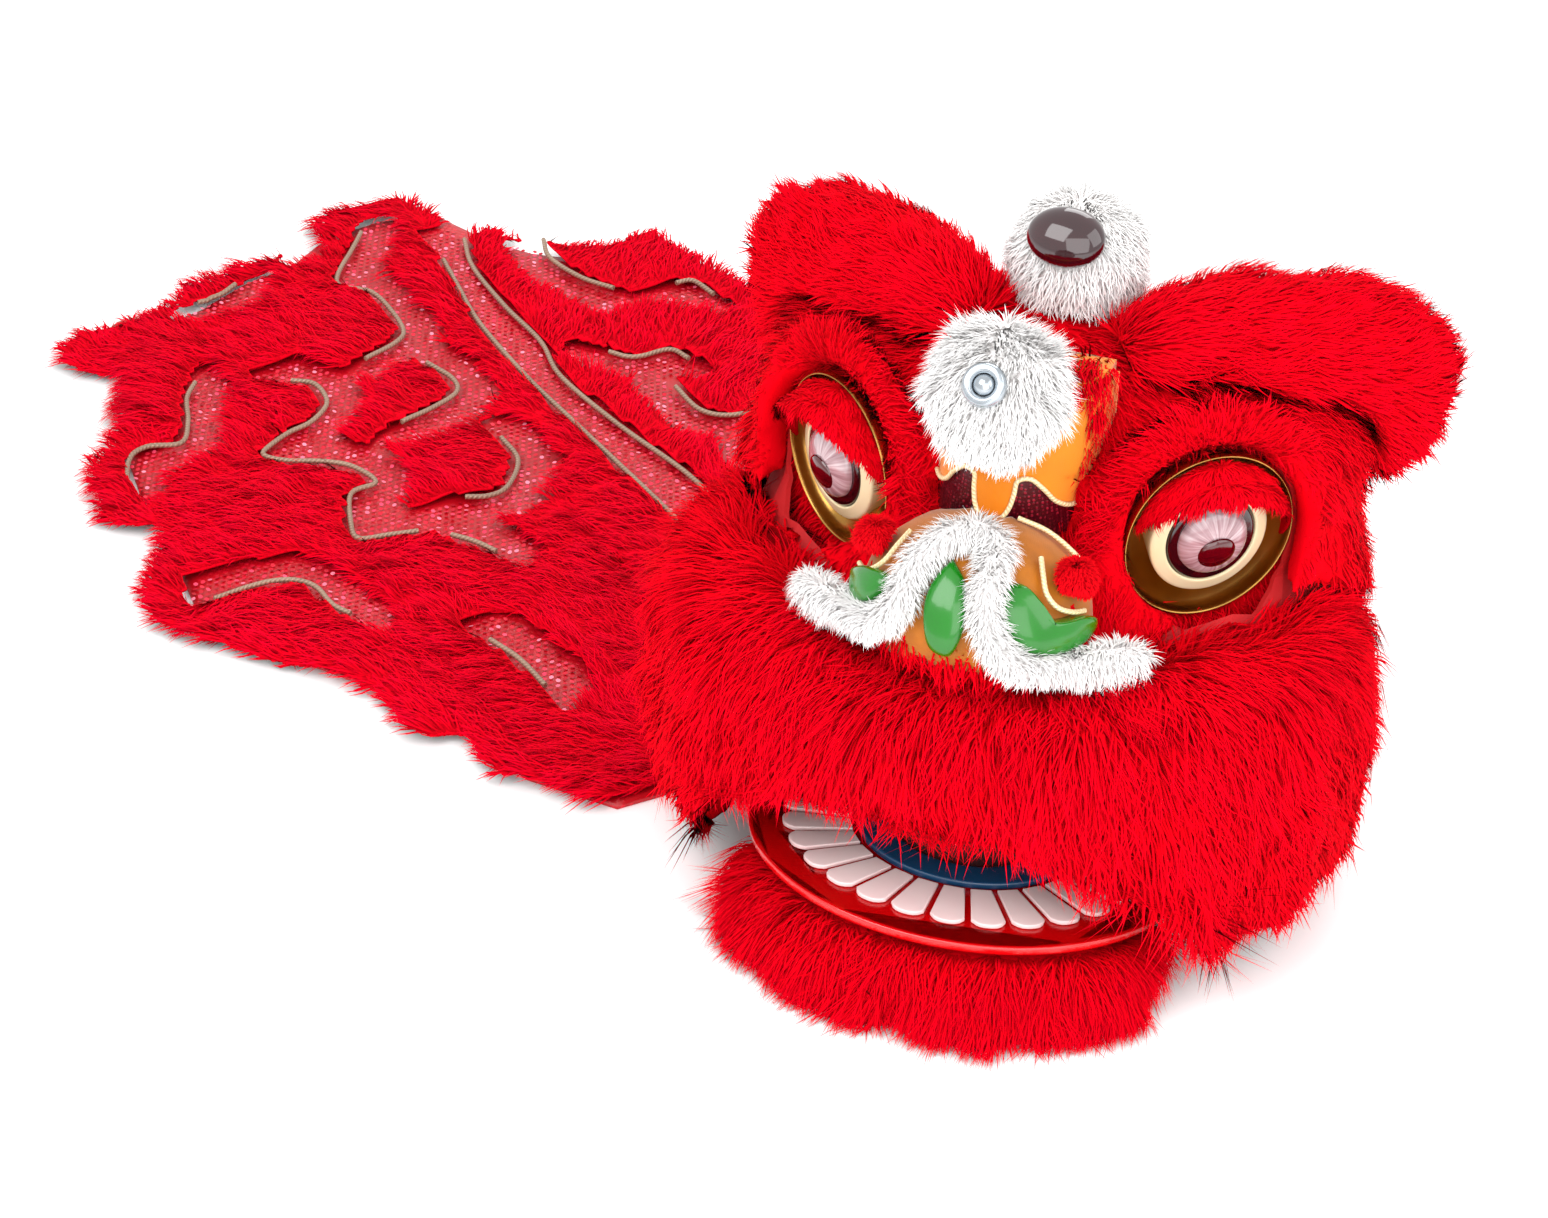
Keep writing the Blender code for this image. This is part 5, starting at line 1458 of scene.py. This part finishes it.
def inside_outline(along, across):
    """Whether a place lies inside the outline that the fur and cloth show on the floor."""
    inside = False
    for (a1, c1), (a2, c2) in zip(FUR_OUTLINE, FUR_OUTLINE[1:] + FUR_OUTLINE[:1]):
        if (c1 > across) != (c2 > across) and along < a1 + (across - c1) / (c2 - c1) * (a2 - a1):
            inside = not inside
    return inside


def furred_height(along, across):
    """The cloth's height in millimetres where fur stands on it or past its edge, or None."""
    top = cloth_top(along, across)
    near = [top] + [cloth_top(along, across + step) for step in (-8, 8)]
    under_head = along < FURRED_ALL_OVER and any(height is not None for height in near)
    if not (under_head or inside_outline(along, across)):
        return None
    if top is not None and is_bare(along, across):
        return None
    return top or CLOTH_WALL


def fur_flow(along, across):
    """The comb of the body's fur, which hangs over the piped edges, and its reach."""
    distance, face, side = EDGES.nearest(Vector((along, across)))
    drift = [noise.noise(Vector((along, across, slot)) / 60) for slot in (11, 29)]
    flow = Vector((0.75, -0.75 if across < -20 else 0.75)) + 0.9 * Vector(drift)
    pull = math.exp(-distance / 22)
    flow = flow - face * 1.8 * pull * (1 if side < 0 else -0.4)
    reach = 0.55 + 0.45 * min(1, distance / 16) if side < 0 else 0.8
    return (on_cloth(flow.x, flow.y) - on_cloth(0, 0)).normalized(), reach


def body_pelt(name, stretch, lift=2.6):
    """A backing with flame edges on the cloth, where the cloth isn't bare, for part of its width."""
    shape = bmesh.new()
    grid = {}
    rows, columns = (int((high - low) / FIELD_CELL) for low, high in zip(FIELD_LOW, FIELD_HIGH))
    for row in range(rows + 1):
        for column in range(columns + 1):
            along = FIELD_LOW[0] + row * FIELD_CELL
            across = FIELD_LOW[1] + column * FIELD_CELL
            inside = stretch[0] < across < stretch[1]
            top = furred_height(along, across) if inside else None
            if top is not None:
                wave = noise.noise(Vector((along, across, 3)) / 34)
                height = top + lift + 4.0 * (1 + wave)
                grid[row, column] = shape.verts.new(on_cloth(along, across, height))
    for (row, column), vert in list(grid.items()):
        others = [grid.get((row + i, column + j)) for i, j in ((0, 1), (1, 1), (1, 0))]
        if all(others):
            shape.faces.new((vert, *others))
    loose = [v for v in shape.verts if not v.link_faces]
    bmesh.ops.delete(shape, geom=loose, context="VERTS")
    bmesh.ops.smooth_vert(
        shape, verts=shape.verts, factor=0.5, use_axis_x=True, use_axis_y=True, use_axis_z=True
    )
    shape.normal_update()
    if sum(f.normal.z for f in shape.faces) < 0:
        bmesh.ops.reverse_faces(shape, faces=shape.faces)
    mesh = mesh_from(name, shape, sharp=180)
    lay, share = fur_fields(mesh)
    for i, vert in enumerate(mesh.vertices):
        lay.data[i].vector, share.data[i].value = fur_flow(*to_cloth(vert.co))
    made = placed(name, mesh)
    wall = made.modifiers.new("wall", "SOLIDIFY")
    wall.thickness = 1.6 * MM
    wall.offset = -1
    baked(made)
    under = made.data.attributes["reach"].data
    for vert in made.data.vertices:
        if vert.normal.z < 0.2:
            under[vert.index].value = 0
    return made


# Parts of the body's fur: name, the stretch across the cloth, the CAD nodes and the number of blades
BODY_PARTS = (
    ("outer", (-math.inf, -236), ("fur_row_left_2", "fur_row_left_3"), 15000),
    ("middle", (-242, -85), ("fur_row_left_1",), 20000),
    ("spine", (-91, 32), ("spine_fur_left", "spine_fur_right"), 11000),
    ("far", (26, math.inf), ("fur_row_right_1", "fur_row_right_2"), 12000),
)


def make_body_fur():
    for i, (label, stretch, nodes, blades) in enumerate(BODY_PARTS):
        skin = body_pelt(f"body_pile_{label}", stretch)
        grow_fur(skin, BODY_FUR, 71 + i, blades, BODY_PILE)
        settle(skin, "head", nodes, "red_fur")


def cloth_cord(name, line, radius=1.9, lift=6.0):
    """A metallic cord that follows a line on the cloth at a height over it."""
    path = []
    for point in smooth_path([Vector((a, c, 0)) for a, c in line], 4):
        height = (cloth_top(point.x, point.y) or CLOTH_WALL) + lift
        path.append((on_cloth(point.x, point.y, height) - HEAD) / MM)
    cord = tube(name, path, radius, BODY_PIPING, sides=8, turns=0.3)
    return settle(cord, "head", (), "sequin_cloth")


def make_piping():
    for i, line in enumerate(SPINE_EDGES):
        cloth_cord(f"spine_piping_{i + 1}", line, 1.9, 4.5)
    for i, line in enumerate(LEFT_EDGES + RIGHT_EDGES):
        cloth_cord(f"flame_piping_{i + 1:02d}", line)


def sequin_tree():
    """Sets a flat disc on each point, tipped a little at random, each with its own tint."""
    tree, given = new_tree("sequin_rows", "Points", ("Radius", "Tip"), "Sequins")
    node = partial(put, tree)
    disc = node(
        "GeometryNodeMeshCircle", {"Vertices": 6, "Radius": given["Radius"]}, fill_type="TRIANGLE_FAN"
    )
    turn = node(
        RANDOM, {"Min": (-1.0, -1.0, 0.0), "Max": (1.0, 1.0, 6.28), "Seed": given["Seed"]},
        data_type="FLOAT_VECTOR",
    )
    lean = node(VECTOR, {0: turn, "Scale": given["Tip"]}, operation="SCALE")
    laid = node(
        "GeometryNodeInstanceOnPoints", {"Points": given["Points"], "Instance": disc, "Rotation": lean}
    )
    chance = add(tree, RANDOM, {"Seed": given["Seed"]}, data_type="FLOAT").outputs[1]
    values = {"Geometry": laid, "Name": "tint", "Value": chance}
    laid = node(STORE, values, data_type="FLOAT", domain="INSTANCE")
    end_tree(tree, node("GeometryNodeRealizeInstances", (laid,)), given["Finish"])
    return tree


SEQUIN_PITCH = 5.2
SEQUIN_START = (-60, -400)
SEQUIN_FIELD = (740, 600)
SEQUIN_STAND = 1.6


def make_sequins():
    """Discs in staggered rows wherever the cloth is bare."""
    points = []
    rows, columns = (int(size / SEQUIN_PITCH) for size in SEQUIN_FIELD)
    for row in range(rows):
        for column in range(columns):
            along = SEQUIN_START[0] + row * SEQUIN_PITCH
            across = SEQUIN_START[1] + (column + 0.5 * (row % 2)) * SEQUIN_PITCH
            top = cloth_top(along, across) if is_bare(along, across) else None
            if top is not None:
                points.append(on_cloth(along, across, top + SEQUIN_STAND))
    mesh = bpy.data.meshes.new("sequins")
    mesh.from_pydata(points, [], [])
    piece = placed("body_sequins", mesh)
    run_tree(piece, sequin_tree(), SEQUIN_DISC, 5, {"Radius": 1.75 * MM, "Tip": 0.35})
    settle(piece, "head", (), "sequin_cloth")


def dress_plain_nodes():
    """The CAD nodes that stay in view get their own finish."""
    dress(NODES["jaw_board"].data, JAW_GLOSS)
    for name in ("head_shell", "hinge_boss_left", "hinge_boss_right"):
        dress(NODES[name].data, SHELL_BOARD)


# Area lights: name, place in metres, power in watts and size in metres
LAMPS = (
    ("key", (-0.6, -1.6, 2.2), 30, 1.6),
    ("front", (1.1, -2.2, 1.2), 25, 2.0),
    ("fill", (1.9, -0.4, 1.4), 14, 1.6),
    ("rim", (0.2, 1.9, 1.9), 19, 1.4),
)
LAMP_TARGET = Vector((0, 0, 0.15))
WORLD_STRENGTH = 1.12
FLOOR_REACH = 6.0
FLOOR_DROP = 0.4 * MM


def make_stage():
    """White paper without an edge in view, an even white room and four soft lights."""
    floor_mesh = bpy.data.meshes.new("floor")
    corners = [(x * FLOOR_REACH, y * FLOOR_REACH, 0) for x, y in ((-1, -1), (1, -1), (1, 1), (-1, 1))]
    floor_mesh.from_pydata(corners, [], [(0, 1, 2, 3)])
    paper, tree, shader = new_material("matt_white_paper", roughness=0.9)
    dye(tree, shader, 300, "#FFFFFF", "#FBFBFB")
    floor = object_of("floor", floor_mesh, paper)
    floor.location.z = -FLOOR_DROP
    world = bpy.data.worlds.new("studio")
    bpy.context.scene.world = world
    world.use_nodes = True
    background = world.node_tree.nodes["Background"].inputs
    background[0].default_value = (1, 1, 1, 1)
    background[1].default_value = WORLD_STRENGTH
    for name, place, power, size in LAMPS:
        light = bpy.data.lights.new(name, "AREA")
        light.energy = power
        light.size = size
        lamp = placed(name, light)
        lamp.location = place
        lamp.rotation_mode = "QUATERNION"
        lamp.rotation_quaternion = (LAMP_TARGET - Vector(place)).to_track_quat("-Z", "Y")
    bpy.context.scene.view_settings.view_transform = "Standard"


def make_camera():
    """Puts the camera where the photograph was taken from, with the target at its pixel."""
    focal = PHOTO_WIDTH / 2 / math.tan(VIEW_WIDTH_ANGLE / 2)
    away = PIXEL_SIZE * focal
    a, e = VIEW_AZIMUTH, VIEW_ELEVATION
    back = Vector((math.sin(a) * math.cos(e), -math.cos(a) * math.cos(e), math.sin(e)))
    right = Vector((math.cos(a), math.sin(a), 0))
    up = back.cross(right)
    c, s = math.cos(VIEW_ROLL), math.sin(VIEW_ROLL)
    right, up = right * c + up * s, up * c - right * s
    x = (VIEW_TARGET_PIXEL[0] - PHOTO_WIDTH / 2) / focal
    y = (PHOTO_HEIGHT / 2 - VIEW_TARGET_PIXEL[1]) / focal
    place = at(*VIEW_TARGET) - (right * x + up * y - back) * away
    data = bpy.data.cameras.new("camera")
    data.sensor_fit = "HORIZONTAL"
    data.angle = VIEW_WIDTH_ANGLE
    camera = placed("camera", data)
    turn = Matrix((right, up, back)).transposed().to_4x4()
    camera.matrix_world = Matrix.Translation(place) @ turn
    bpy.context.scene.camera = camera


make_camera()
make_stage()
dress_plain_nodes()
make_muzzle()
make_head()
for side_sign, side_label in SIDES:
    make_ear(side_sign, side_label)
    make_eye(side_sign, side_label)
make_white_fur()
make_beard()
make_jaw()
make_nose()
make_bridge()
make_buttons()
cloth_piece, cloth_area = make_cloth()
make_body_fur()
make_piping()
make_sequins()
min(0.48, cloth_area)
bpy.data.objects.remove(BLADE)
